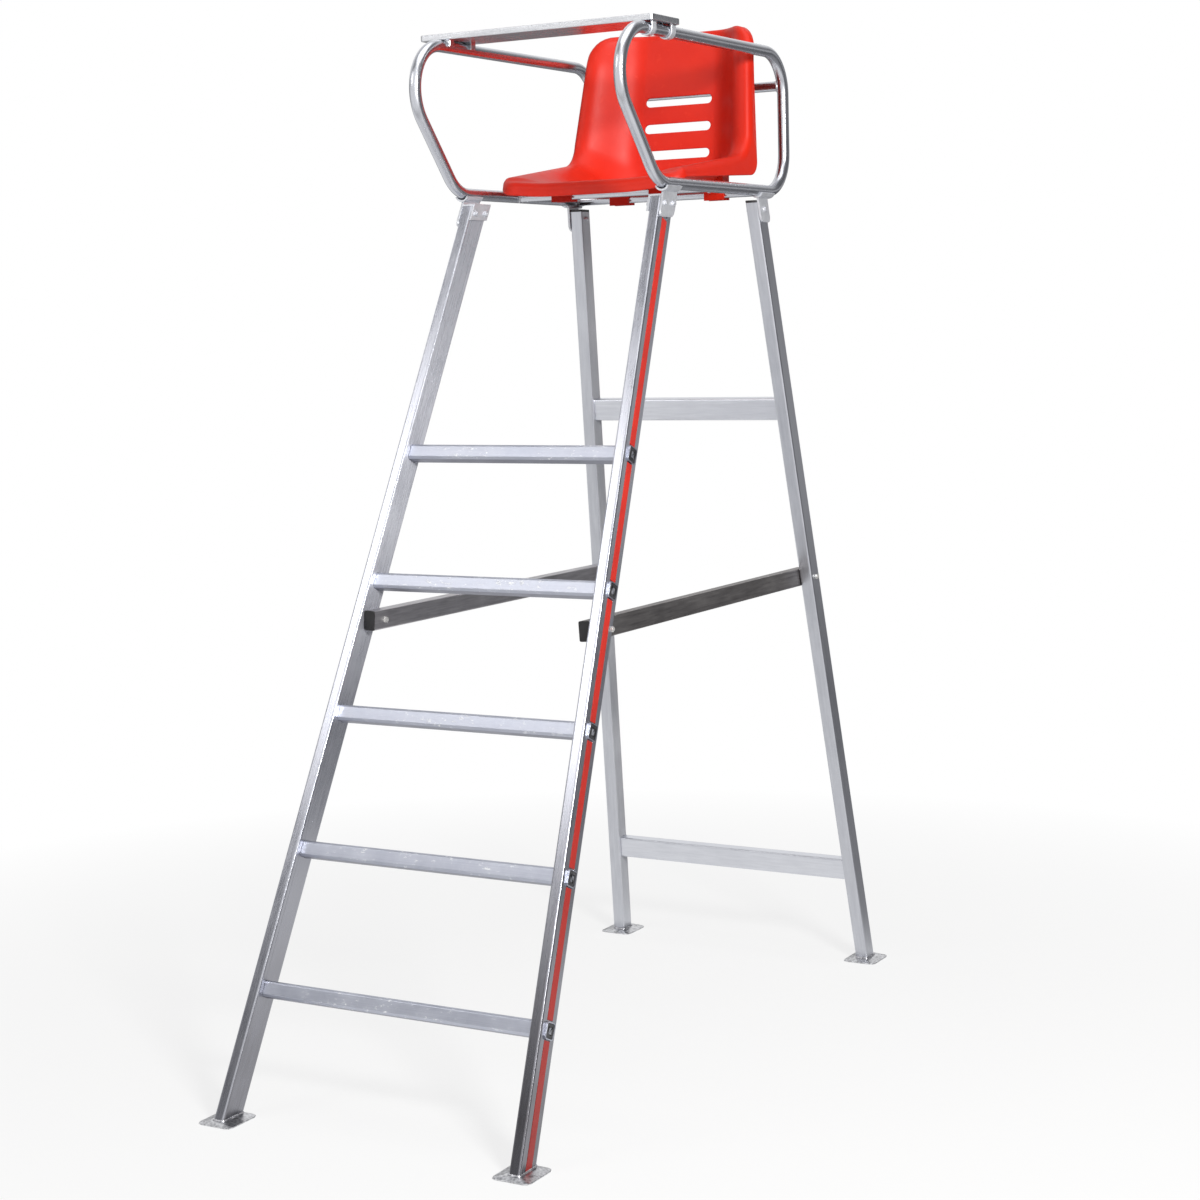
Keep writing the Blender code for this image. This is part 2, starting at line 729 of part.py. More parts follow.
def leg_bracket(name, post, width, forked, finish):
    """Tab on the leg's outer face under a cup for the arm tube; forked ones also reach over the stile."""
    cup_floor = ARM_LOW - ARM_RADIUS - GAP - CUP_WALL / 2
    near = post.width / 2 + GAP
    far = near + TAB_THICKNESS
    bm = bmesh.new()
    sheared_plate(bm, post, tab_outline(width, cup_floor, LEG_TOP - TAB_DROP), near, far)
    made = add_object(f"leg_bracket_{name}", bm, finish)
    saddle = bmesh.new()
    below_rail = math.acos((RAIL_RADIUS + 2 * GAP) / (ARM_RADIUS + GAP))
    cup(saddle, post.side, post.axis_at(LEG_TOP).y, CUP_HALF_ANGLE if forked else below_rail)
    if forked:
        fork(saddle, post, width, near, far)
    bolts = bmesh.new()
    for matrix in bracket_bolt_places(post, forked):
        add_bolt(bolts, matrix, far - GAP, -far + GAP if forked else -near)
    combine(made, add_tool(f"saddle_{name}", saddle, finish), "UNION")
    combine(made, add_tool(f"bolts_{name}", bolts, finish), "UNION")


def filleted_loop(corners, radii):
    """Closed path through rounded corners, as points with the path's direction at each."""
    path = []
    count = len(corners)
    for index, corner in enumerate(corners):
        arriving = (corner - corners[index - 1]).normalized()
        leaving = (corners[(index + 1) % count] - corner).normalized()
        turn = arriving.angle_signed(leaving)
        radius = radii[index]
        start = corner - arriving * radius * math.tan(abs(turn) / 2)
        steps = max(2, round(abs(turn) / BEND_STEP))
        inward = Vector((arriving.y, -arriving.x)) * math.copysign(1, turn)
        centre = start + inward * radius
        for step in range(steps + 1):
            spin = Matrix.Rotation(-turn * step / steps, 2)
            path.append((centre - spin @ inward * radius, spin @ arriving))
    return path


def arm_loop_path():
    corners = [
        Vector((ARM_REAR, ARM_LOW)),
        Vector((ARM_REAR, ARM_HIGH)),
        Vector((ARM_NOSE, ARM_HIGH)),
        Vector((ARM_ELBOW, ARM_LOW)),
    ]
    return filleted_loop(corners, [ARM_REAR_BEND, ARM_REAR_BEND, ARM_NOSE_BEND, ARM_ELBOW_BEND])


def arm_loops(finish):
    bm = bmesh.new()
    rings = []
    for centre, direction in arm_loop_path():
        sideways = Vector((-direction.y, direction.x))
        points = []
        for out, up in circle(ARM_RADIUS, TUBE_SIDES):
            spot = centre + sideways * up
            points.append((out, spot.x, spot.y))
        rings.append(ring(bm, points))
    skin(bm, rings, closed=True)
    left = add_object("arm_loop_left", bm, finish, Matrix.Translation((-ARM_X, 0, 0)))
    place_object("arm_loop_right", left.data, Matrix.Translation((ARM_X, 0, 0)))


def off_arm_centre(y, z):
    """How far a point lies from the middle line of the loop's lower tube or of its rear end."""
    bend_y = ARM_REAR - ARM_REAR_BEND
    if y < bend_y:
        return z - ARM_LOW
    bend_z = min(max(z, ARM_LOW + ARM_REAR_BEND), ARM_HIGH - ARM_REAR_BEND)
    facet_sag = ARM_REAR_BEND * (1 - math.cos(BEND_STEP / 2))
    return max(abs(math.hypot(y - bend_y, z - bend_z) - ARM_REAR_BEND) - facet_sag, 0.0)


def cross_tube(name, y, z, finish):
    """Tube between the loops, its ends coped to the round of the arm tubes."""
    matrix = frame(Vector((0, 1, 0)), Vector((0, 0, 1)), Vector((1, 0, 0)), Vector((0, y, z)))

    def end(along, up):
        off = off_arm_centre(y + along, z + up)
        return ARM_X - math.sqrt(max(ARM_RADIUS**2 - off**2, 0.0)) - GAP

    bm = bmesh.new()
    outer = circle(RAIL_RADIUS, TUBE_SIDES)
    inner = circle(RAIL_RADIUS - RAIL_WALL, TUBE_SIDES)
    hollow_bar(bm, outer, inner, lambda a, b: -end(a, b), end)
    add_object(name, bm, finish, matrix)


def smooth(share):
    share = min(max(share, 0.0), 1.0)
    return share * share * (3 - 2 * share)


def bent_line(start, corner, end, radius, first_shares, bend_steps, second_shares):
    """Points and directions along two straights joined by a bend, at the given shares of each straight."""
    first = (corner - start).normalized()
    second = (end - corner).normalized()
    turn = first.angle(second)
    reach = radius * math.tan(turn / 2)
    bend_start = corner - first * reach
    bend_end = corner + second * reach
    rows = [(start.lerp(bend_start, share), first) for share in first_shares]
    for step in range(1, bend_steps):
        angle = turn * step / bend_steps
        along = first * math.cos(angle) + Vector((-first.y, first.x)) * math.sin(angle)
        centre = bend_start + Vector((-first.y, first.x)) * radius
        rows.append((centre + Vector((along.y, -along.x)) * radius, along))
    rows += [(bend_end.lerp(end, share), second) for share in second_shares]
    return rows


class SeatSurface:
    """Sitter's side of the shell: a bent middle line, and a crest line that the side walls rise to."""

    corner_angles = [math.radians(angle) for angle in (90, 60, 30)]
    columns = (0.0, 0.2, 0.38, 0.52, 0.64, 0.76, 0.88, 1.0)
    pan_steps = 5
    bend_steps = 6
    back_steps = 6

    def __init__(self):
        pan = ARM_LOW + RAIL_RADIUS + GAP + SEAT_WALL
        crest_half = ARM_X - ARM_RADIUS - SEAT_SIDE_GAP - LIP_OUT - LIP_FLARE
        back = Vector((math.tan(SEAT_BACK_RAKE), 1)) * SEAT_BACK_HEIGHT
        wing = Vector((math.tan(WING_LEAN), 1)) * (SEAT_BACK_HEIGHT - WING_RISE)
        front = Vector((FRONT_RAIL - SEAT_OVERHANG, pan + SEAT_NOSE_RISE))
        corner = Vector((REAR_RAIL + SEAT_SETBACK, pan))
        crest_front = front + Vector((0, WING_FRONT_RISE - SEAT_NOSE_RISE))
        crest_corner = corner + Vector((-WING_FORWARD, WING_RISE))
        reach = SEAT_BEND * math.tan((corner - front).angle(back) / 2)
        pan_length = (corner - front).length - reach
        back_length = back.length - reach
        pan_shares = self.shares(pan_length, SEAT_FRONT_CORNER, self.pan_steps)
        from_top = self.shares(back_length, SEAT_TOP_CORNER, self.back_steps)
        back_shares = [1 - share for share in reversed(from_top)]
        layout = (pan_shares, self.bend_steps, back_shares)
        middle = bent_line(front, corner, corner + back, SEAT_BEND, *layout)
        crest = bent_line(crest_front, crest_corner, crest_corner + wing, WING_BEND, *layout)
        rim_front = crest_front - Vector((0, RIM_FRONT_DROP))
        rim_corner = crest_corner + Vector((RIM_BEND_BACK, -RIM_BEND_DROP))
        rim_top = crest_corner + wing + Vector((RIM_TOP_BACK, 0))
        rim = bent_line(rim_front, rim_corner, rim_top, RIM_BEND, *layout)
        shares = [(share, 0.0) for share in pan_shares]
        shares += [(1.0, 0.0)] * (self.bend_steps - 1)
        shares += [(1.0, share) for share in back_shares]
        self.rows = []
        for (point, along), (edge, _), (free, _), (on_pan, on_back) in zip(middle, crest, rim, shares):
            from_front = on_pan * pan_length
            from_top = (1 - on_back) * back_length
            taper = on_back * SEAT_TOP_TAPER + (1 - on_pan) * SEAT_FRONT_TAPER
            sink = smooth(1 - from_top / WING_FADE) * (1 - WING_TOP_SHARE)
            sink += smooth(1 - from_front / SEAT_FRONT_CORNER) * (1 - WING_FRONT_SHARE)
            front_turn = self.corner_turn(from_front, SEAT_FRONT_CORNER)
            top_turn = self.corner_turn(from_top, SEAT_TOP_CORNER)
            full = crest_half - taper
            trim = SEAT_FRONT_CORNER * (1 - math.cos(front_turn))
            trim += SEAT_TOP_CORNER * (1 - math.cos(top_turn))
            self.rows.append({
                "point": point,
                "along": along,
                "rise": (edge - point) * (1 - sink),
                "full": full,
                "half": full - trim,
                "turn": top_turn - front_turn,
                "drop": free - edge,
            })

    def shares(self, length, corner, steps):
        """Shares of a straight whose first rows follow a rounded corner."""
        near = [corner * (1 - math.sin(angle)) / length for angle in self.corner_angles]
        start = corner / length
        return near + [start + (1 - start) * step / steps for step in range(steps + 1)]

    def corner_turn(self, distance, corner):
        """Angle round a corner at a distance from the shell's end, none past the corner."""
        return math.asin(min(max((corner - distance) / corner, 0.0), 1.0))

    def point(self, row, x):
        wall = smooth((abs(x) - SEAT_FLAT) / (row["full"] - SEAT_FLAT))
        spot = row["point"] + row["rise"] * wall
        return Vector((x, spot.x, spot.y))

    def height(self, x, y):
        """Height of the sitter's side over a point of the pan."""
        points = [self.point(row, x) for row in self.rows]
        for first, second in zip(points, points[1:]):
            if first.y <= y <= second.y:
                return first.z + (second.z - first.z) * (y - first.y) / (second.y - first.y)
        return points[0].z

    def outward(self, row, side, turn):
        """Direction in which the rim leaves the shell: sideways, or along the middle line at its ends."""
        along = row["along"]
        return Vector((side * math.cos(turn), along.x * math.sin(turn), along.y * math.sin(turn)))

    def away(self, row):
        """Direction away from the sitter."""
        return Vector((0, row["along"].y, -row["along"].x))


def seat_sheet(surface):
    """Shell surface with its rolled rim, one layer thick."""
    bm = bmesh.new()
    places = [-share for share in reversed(surface.columns[1:])] + list(surface.columns)
    grid = []
    for row in surface.rows:
        grid.append(ring(bm, [surface.point(row, row["half"] * place) for place in places]))
    for lower, upper in zip(grid, grid[1:]):
        for index in range(len(places) - 1):
            bm.faces.new((lower[index], lower[index + 1], upper[index + 1], upper[index]))
    last = len(places) - 1
    first_row, last_row = surface.rows[0], surface.rows[-1]
    half_turn = math.pi / 2
    rim = [(grid[0][k], first_row, 1, -half_turn) for k in range(last + 1)]
    rim += [(grid[j][last], row, 1, row["turn"]) for j, row in enumerate(surface.rows)][1:-1]
    rim += [(grid[-1][k], last_row, 1, half_turn) for k in range(last, -1, -1)]
    rim += [(grid[j][0], row, -1, row["turn"]) for j, row in enumerate(surface.rows)][-2:0:-1]
    lip = []
    for angle in (30, 60, 90):
        turn = math.radians(angle)
        lip.append((LIP_OUT * math.sin(turn), LIP_ROUND * (1 - math.cos(turn))))
    rings = [[spot for spot, _, _, _ in rim]]
    for out, drop in lip:
        points = []
        for spot, row, side, turn in rim:
            points.append(spot.co + surface.outward(row, side, turn) * out + surface.away(row) * drop)
        rings.append(ring(bm, points))
    free_edge = []
    for spot, row, side, turn in rim:
        reach = surface.outward(row, side, turn) * (LIP_OUT + LIP_FLARE)
        at_side = Vector((0, *row["drop"])) * math.cos(turn) ** 2
        at_end = surface.away(row) * LIP_DROP * math.sin(turn) ** 2
        free_edge.append(spot.co + reach + at_side + at_end)
    rings.append(ring(bm, free_edge))
    skin(bm, rings[::-1])
    return bm


def border(layer, last):
    """Outer points of a square grid, in order round it."""
    points = [layer[i][0] for i in range(last)]
    points += [layer[last][j] for j in range(last)]
    points += [layer[i][last] for i in range(last, 0, -1)]
    points += [layer[0][j] for j in range(last, 0, -1)]
    return points


def seat_hooks(surface, finish):
    """Blocks under the pan that the rails snap into, shaped to the shell above them."""
    bm = bmesh.new()
    reach = RAIL_RADIUS + GAP + HOOK_WALL
    base = ARM_LOW - reach
    limit = ARM_LOW + HOOK_RISE
    steps = 4
    for side in SIDES.values():
        for rail in (FRONT_RAIL, REAR_RAIL):
            start_x = side * HOOK_SPACING / 2 - HOOK_WIDTH / 2
            layers = []
            for lifted in (False, True):
                layer = []
                for i in range(steps + 1):
                    x = start_x + HOOK_WIDTH * i / steps
                    ys = [rail - reach + 2 * reach * j / steps for j in range(steps + 1)]
                    tops = [base] * len(ys)
                    if lifted:
                        tops = [min(surface.height(x, y) - SEAT_WALL / 2, limit) for y in ys]
                    layer.append(ring(bm, [(x, y, z) for y, z in zip(ys, tops)]))
                layers.append(layer)
            for layer in layers:
                for i in range(steps):
                    for j in range(steps):
                        bm.faces.new((layer[i][j], layer[i + 1][j], layer[i + 1][j + 1], layer[i][j + 1]))
            skin(bm, [border(layer, steps) for layer in layers])
    return add_tool("seat_hooks", bm, finish)


def keyhole(y):
    """Round seat for a rail with a narrower mouth below it."""
    radius = RAIL_RADIUS + GAP
    half_mouth = math.asin(HOOK_MOUTH / 2 / radius)
    start = -math.pi / 2 + half_mouth
    sweep = math.tau - 2 * half_mouth
    steps = 16
    points = []
    for step in range(steps + 1):
        angle = start + sweep * step / steps
        points.append((y + radius * math.cos(angle), ARM_LOW + radius * math.sin(angle)))
    below = ARM_LOW - RAIL_RADIUS - 2 * HOOK_WALL
    points.append((y - HOOK_MOUTH / 2, below))
    points.append((y + HOOK_MOUTH / 2, below))
    return points


def seat_cuts(finish):
    """Rail seats in the hooks, and the slots through the back."""
    bm = bmesh.new()
    turned = Matrix(((0, 0, 1, 0), (1, 0, 0, 0), (0, 1, 0, 0), (0, 0, 0, 1)))
    for side in SIDES.values():
        middle = side * HOOK_SPACING / 2
        for rail in (FRONT_RAIL, REAR_RAIL):
            outline = keyhole(rail)
            half = HOOK_WIDTH / 2 + HOOK_WALL
            solid_bar(bm, [(outline, middle - half), (outline, middle + half)], turned)
    through = Matrix(((1, 0, 0, 0), (0, 0, -1, 0), (0, 1, 0, 0), (0, 0, 0, 1)))
    slot = rounded_rect(SLOT_LENGTH, SLOT_HEIGHT, SLOT_HEIGHT / 2, 5)
    back_foot = REAR_RAIL + SEAT_SETBACK
    near = back_foot + SEAT_BACK_HEIGHT * math.tan(SEAT_BACK_RAKE) + SEAT_WALL + SEAT_BEND
    far = back_foot - SEAT_BEND
    for number in range(SLOT_COUNT):
        z = ARM_LOW + SLOT_RISE + (number - (SLOT_COUNT - 1) / 2) * SLOT_PITCH
        outline = [(x, y + z) for x, y in slot]
        solid_bar(bm, [(outline, -near), (outline, -far)], through)
    return add_tool("seat_cuts", bm, finish)


def seat_shell(finish):
    surface = SeatSurface()
    made = add_object("seat_shell", seat_sheet(surface), finish)
    wall = made.modifiers.new("wall", "SOLIDIFY")
    wall.thickness = SEAT_WALL
    wall.offset = -1.0
    combine(made, seat_hooks(surface, finish), "UNION")
    combine(made, seat_cuts(finish), "DIFFERENCE")


def writing_tray(hinge, finish):
    """Shallow tray with upturned edges and cheeks that locate it over the left arm; hinge axis at zero."""
    width = ARM_SPACING + TRAY_LEFT + TRAY_RIGHT
    middle = TRAY_RIGHT - width / 2
    floor = ARM_RADIUS + TURN_GAP
    outer = rounded_rect(width, TRAY_DEPTH, TRAY_CORNER)
    inner = inset_rect(width, TRAY_DEPTH, TRAY_CORNER, TRAY_WALL)
    rim = floor + TRAY_HEIGHT
    bm = bmesh.new()
    solid_bar(bm, [(outer, floor), (outer, rim), (inner, rim), (inner, floor + TRAY_WALL)],
              Matrix.Translation((middle, 0, 0)))
    made = add_object("writing_tray", bm, finish, parent=hinge)
    cheeks = bmesh.new()
    over_left = Matrix.Translation((-ARM_SPACING, 0, 0)) @ ALONG_Y
    for y in (-STRAP_SPACING / 2, STRAP_SPACING / 2):
        for side in SIDES.values():
            outline = cheek_outline(side)
            ends = (y - STRAP_WIDTH / 2, y + STRAP_WIDTH / 2)
            solid_bar(cheeks, [(outline, end) for end in ends], over_left)
    tool = add_tool("tray_cheeks", cheeks, finish)
    tool.parent = hinge
    combine(made, tool, "UNION")


def strap_outline():
    """U strap round the lower half of the tube, up to the underside of the tray."""
    inner = ARM_RADIUS + TURN_GAP
    outer = inner + STRAP_THICKNESS
    top = inner - GAP
    steps = 12
    half_turn = [math.pi * step / steps for step in range(steps + 1)]
    points = [(outer, top), (inner, top)]
    points += [(inner * math.cos(angle), -inner * math.sin(angle)) for angle in half_turn]
    points += [(-inner, top), (-outer, top)]
    points += [(-outer * math.cos(angle), -outer * math.sin(angle)) for angle in half_turn]
    return points


def cheek_outline(side):
    """Cheek beside the tube, from within the tray's floor down to the tube's middle."""
    inner = ARM_RADIUS + TURN_GAP
    outer = inner + CHEEK_THICKNESS
    top = inner + TRAY_WALL / 2
    start = math.acos((inner - GAP) / inner)
    steps = 6
    points = []
    for step in range(steps + 1):
        angle = start + (math.pi / 2 - start) * step / steps
        points.append((side * inner * math.sin(angle), inner * math.cos(angle)))
    points.append((side * outer, 0))
    points.append((side * outer, top))
    points.append((side * inner * math.sin(start), top))
    return points


def hinge_straps(hinge, finish):
    """Two straps that hold the tray to the right arm's upper tube and turn on it."""
    bm = bmesh.new()
    outline = strap_outline()
    solid_bar(bm, [(outline, -STRAP_WIDTH / 2), (outline, STRAP_WIDTH / 2)], ALONG_Y)
    front = Matrix.Translation((0, -STRAP_SPACING / 2, 0))
    rear = Matrix.Translation((0, STRAP_SPACING / 2, 0))
    shape = add_object("tray_strap_front", bm, finish, front, hinge).data
    place_object("tray_strap_rear", shape, rear, hinge)


def build():
    clear_scene()
    stile_metal = material("stile_aluminium", (0.62, 0.63, 0.66), 0.38, 1.0)
    leg_metal = material("leg_aluminium", (0.60, 0.61, 0.63), 0.42, 1.0)
    rung_metal = material("rung_aluminium", (0.68, 0.69, 0.71), 0.36, 1.0)
    arm_metal = material("polished_tube", (0.70, 0.71, 0.73), 0.18, 1.0)
    tray_metal = material("tray_sheet", (0.74, 0.75, 0.77), 0.28, 1.0)
    bracket_metal = material("bracket_steel", (0.52, 0.53, 0.55), 0.45, 1.0)
    bolt_metal = material("zinc_bolt", (0.58, 0.58, 0.57), 0.40, 1.0)
    red_shell = material("red_shell_plastic", (0.80, 0.050, 0.022), 0.35, 0.0)
    red_strip = material("red_strip_plastic", (0.66, 0.040, 0.022), 0.45, 0.0)
    black_plug = material("black_plug_plastic", (0.018, 0.018, 0.020), 0.55, 0.0)
    front, rear = make_legs()
    braces = {name: Brace(front[name], rear[name]) for name in SIDES}
    bolt_places = []
    for name in SIDES:
        bolt_places += brace_bolts(name, braces[name], front[name], rear[name], bolt_metal)
        bolt_places += bracket_bolt_places(front[name], True)
        bolt_places += bracket_bolt_places(rear[name], False)
    bolt_holes = cut_bolt_holes(bolt_places, bolt_metal)
    rung_holes = cut_rung_holes(front["right"], stile_metal)
    for name in SIDES:
        ladder_stile(name, front[name], stile_metal, rung_holes, bolt_holes)
        stile_strips(name, front[name], red_strip)
        rear_leg(name, rear[name], leg_metal, bolt_holes)
        rear_leg_cap(name, rear[name], black_plug)
        side_brace(name, braces[name], leg_metal, bolt_holes)
        brace_plug(name, braces[name], black_plug)
        leg_bracket(f"front_{name}", front[name], FRONT_TAB_WIDTH, True, bracket_metal)
        leg_bracket(f"rear_{name}", rear[name], REAR_TAB_WIDTH, False, bracket_metal)
    for number in range(1, RUNG_COUNT + 1):
        rung(front["right"], number, rung_metal)
    rung_end_plugs(front["right"], black_plug)
    for name, height in CROSSBAR_HEIGHTS.items():
        rear_crossbar(name, height, rear["right"], leg_metal)
    foot_plates(front, rear, leg_metal)
    arm_loops(arm_metal)
    cross_tube("seat_rail_front", FRONT_RAIL, ARM_LOW, arm_metal)
    cross_tube("seat_rail_rear", REAR_RAIL, ARM_LOW, arm_metal)
    cross_tube("back_rail", ARM_REAR, ARM_LOW + BACK_RAIL_RISE, arm_metal)
    seat_shell(red_shell)
    hinge = bpy.data.objects.new("tray_hinge", None)
    bpy.context.collection.objects.link(hinge)
    hinge.location = (ARM_X, TRAY_Y, ARM_HIGH)
    writing_tray(hinge, tray_metal)
    hinge_straps(hinge, tray_metal)


build()
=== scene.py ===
import math

import bmesh
import bpy
from mathutils import Matrix, Quaternion, Vector, noise
from mathutils.geometry import convex_hull_2d, delaunay_2d_cdt


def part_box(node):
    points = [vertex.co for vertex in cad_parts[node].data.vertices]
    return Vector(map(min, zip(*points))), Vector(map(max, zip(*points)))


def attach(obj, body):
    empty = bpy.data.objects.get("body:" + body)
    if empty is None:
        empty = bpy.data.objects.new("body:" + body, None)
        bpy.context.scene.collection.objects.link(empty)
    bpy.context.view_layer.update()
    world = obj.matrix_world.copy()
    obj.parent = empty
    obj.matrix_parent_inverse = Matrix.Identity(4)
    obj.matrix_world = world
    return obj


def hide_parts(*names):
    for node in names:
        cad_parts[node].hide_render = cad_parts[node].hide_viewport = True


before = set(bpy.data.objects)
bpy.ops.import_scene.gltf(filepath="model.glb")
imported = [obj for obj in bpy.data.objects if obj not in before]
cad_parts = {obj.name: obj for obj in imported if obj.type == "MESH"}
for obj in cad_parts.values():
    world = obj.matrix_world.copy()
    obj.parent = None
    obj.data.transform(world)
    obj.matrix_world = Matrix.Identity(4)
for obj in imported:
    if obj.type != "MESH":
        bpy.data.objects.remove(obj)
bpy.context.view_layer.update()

# Studio: a pale floor, the key light at the right, a broad sheet of light overhead, and a softbox at the
# front left that the stiles mirror half way up. The backdrop is white, and the rest of the room, which only
# the metal mirrors, is grey.
CAMERA_PLACE = (2.4889, -4.1981, 1.5086)
CAMERA_YAW, CAMERA_PITCH, CAMERA_ROLL = 0.5201, -0.0992, -0.0256
FOCAL_PIXELS, IMAGE_SIZE, SENSOR = 2342.85, 1200, 36.0
MIDDLE_ACROSS, MIDDLE_DOWN = 602.02, 554.16
ACROSS, BACK, UP = (1.0, 0.0, 0.0), (0.0, 1.0, 0.0), (0.0, 0.0, 1.0)
AHEAD = (0.0, -1.0, 0.0)
TO_ROOM, TO_BACKDROP, TO_CAMERA = (0.65, -0.76, 0.0), (-0.64, 0.77, 0.0), (0.33, -0.90, 0.28)
WHITE = (1.0, 1.0, 1.0, 1.0)
ROOM_GREY = (0.15, 0.15, 0.159, 1.0)
AMBIENT = (0.12, 0.12, 0.1224, 1.0)
RIGHT_WALL_SHADE, BACKDROP_SHADE = 0.5, 0.85   # how grey the metal sees them, below the lights
FLOOR_REACH, FLOOR_LEVEL = 14.0, -0.0005
FLOOR_PALE, FLOOR_SPECK = (0.84, 0.84, 0.84, 1.0), (0.88, 0.88, 0.88, 1.0)
FLOOR_GLOW = 0.80          # share of plain white in what the camera sees of the floor by the feet
FLOOR_NEAR, FLOOR_FAR = 0.9, 2.6   # from the middle; beyond the second the floor is plain white
BEHIND_SHADE, BEFORE_SHADE = 0.85, 0.5         # the same for the floor behind and before the chair
LAMPS = {
    "front_softbox": {"place": (-2.55, -3.65, 3.92), "aim": (0.0, -0.3, 1.1), "size": (2.2, 1.57),
                      "power": 35.0, "tint": (1.0, 0.99, 0.98), "lean": 18},
    "overhead_sheet": {"place": (0.6, -0.2, 4.6), "aim": (0.0, 0.0, 1.0), "size": (3.0, 3.0),
                       "power": 52.0, "tint": (1.0, 1.0, 1.0), "lean": 0},
    "key_softbox": {"place": (3.5, -2.65, 2.80), "aim": (0.0, 0.3, 1.7), "size": (0.9, 0.9),
                    "power": 212.0, "tint": (1.0, 0.99, 0.97), "lean": 0},
}


class Amount:
    """A number that changes over a surface; sums and products of amounts become Math nodes."""

    def __init__(self, finish, socket):
        self.finish = finish
        self.socket = socket

    def work(self, operation, *numbers):
        return self.finish.node("ShaderNodeMath", {"operation": operation}, dict(enumerate(numbers)))

    def __add__(self, other):
        return self.work("ADD", self, other)

    def __radd__(self, other):
        return self.work("ADD", other, self)

    def __sub__(self, other):
        return self.work("SUBTRACT", self, other)

    def __rsub__(self, other):
        return self.work("SUBTRACT", other, self)

    def __mul__(self, other):
        return self.work("MULTIPLY", self, other)

    def __rmul__(self, other):
        return self.work("MULTIPLY", other, self)

    def larger(self, other):
        return self.work("MAXIMUM", self, other)

    def within(self, low, high):
        """Nought at low, one at high, and straight between them."""
        return self.finish.node("ShaderNodeMapRange", {}, {0: self, 1: low, 2: high, 3: 0.0, 4: 1.0})


class Finish:
    """The nodes of one surface finish, or of the studio's walls."""

    def __init__(self, owner):
        owner.use_nodes = True
        self.owner = owner
        self.tree = owner.node_tree
        self.tree.nodes.clear()

    def node(self, kind, settings, sockets, out=0):
        made = self.tree.nodes.new(kind)
        for name, value in settings.items():
            setattr(made, name, value)
        for key, value in sockets.items():
            if isinstance(value, Amount):
                self.tree.links.new(value.socket, made.inputs[key])
            else:
                made.inputs[key].default_value = value
        return Amount(self, made.outputs[out]) if made.outputs else None

    def place(self):
        """Where a point lies on the object, in metres."""
        return self.node("ShaderNodeTexCoord", {}, {}, out=3)

    def along(self, vector, axis):
        return self.node("ShaderNodeVectorMath", {"operation": "DOT_PRODUCT"}, {0: vector, 1: axis}, out=1)

    def mix(self, share, first, second):
        return self.node("ShaderNodeMix", {"data_type": "RGBA"}, {0: share, 6: first, 7: second}, out=2)

    def grain(self, vector, scale, detail=3.0, roughness=0.55):
        sockets = {"Vector": vector, "Scale": scale, "Detail": detail, "Roughness": roughness}
        return self.node("ShaderNodeTexNoise", {}, sockets)

    def stretched(self, vector, scales):
        return self.node("ShaderNodeVectorMath", {"operation": "MULTIPLY"}, {0: vector, 1: scales})

    def relief(self, height, strength, depth=0.0003):
        return self.node("ShaderNodeBump", {}, {"Strength": strength, "Distance": depth, "Height": height})

    def surface(self, shader):
        self.node("ShaderNodeOutputMaterial", {}, {0: shader})
        return self.owner

    def coat(self, colour, rough, normal, **others):
        """The finished surface of one solid material."""
        sockets = {"Base Color": colour, "Roughness": rough, "Normal": normal}
        sockets.update({name.replace("_", " "): value for name, value in others.items()})
        return self.surface(self.node("ShaderNodeBsdfPrincipled", {}, sockets))


def shade(red, green, blue):
    """A colour as the eye names it, 0 to 255, turned to light."""
    light = [((c / 255 + 0.055) / 1.055) ** 2.4 if c > 10 else c / 3294 for c in (red, green, blue)]
    return (*light, 1.0)


def seen_or_mirrored(finish):
    """One for what the camera sees directly, in metal or through a clear thing."""
    seen, mirrored, through = [finish.node("ShaderNodeLightPath", {}, {}, out=k) for k in (0, 3, 6)]
    return seen.larger(mirrored).larger(through)


def studio_walls():
    walls = Finish(bpy.data.worlds.new("studio_walls"))
    bpy.context.scene.world = walls.owner
    direction = walls.node("ShaderNodeTexCoord", {}, {}, out=0)
    seen = walls.node("ShaderNodeLightPath", {}, {}, out=0)
    towards_room = walls.along(direction, TO_ROOM).within(-0.75, 0.15)
    in_front = walls.along(direction, AHEAD).within(0.15, 0.50)
    height = walls.along(direction, UP)
    by_camera = walls.along(direction, TO_CAMERA).within(0.70, 0.80)
    low_sheet = (in_front * (1 - height.within(0.13, 0.20))).larger(by_camera)
    right_wall = height.within(0.02, 0.12) * walls.along(direction, ACROSS).within(0.0, 0.4)
    behind = walls.along(direction, TO_BACKDROP).within(0.35, 0.80) * (1 - height.within(0.16, 0.30))
    shaded = towards_room + right_wall * RIGHT_WALL_SHADE + behind * BACKDROP_SHADE
    room = walls.mix(shaded * (1 - low_sheet) * (1 - seen), WHITE, ROOM_GREY)
    colour = walls.mix(seen_or_mirrored(walls), AMBIENT, room)
    light = walls.node("ShaderNodeBackground", {}, {0: colour, 1: 1.0})
    walls.node("ShaderNodeOutputWorld", {}, {0: light})


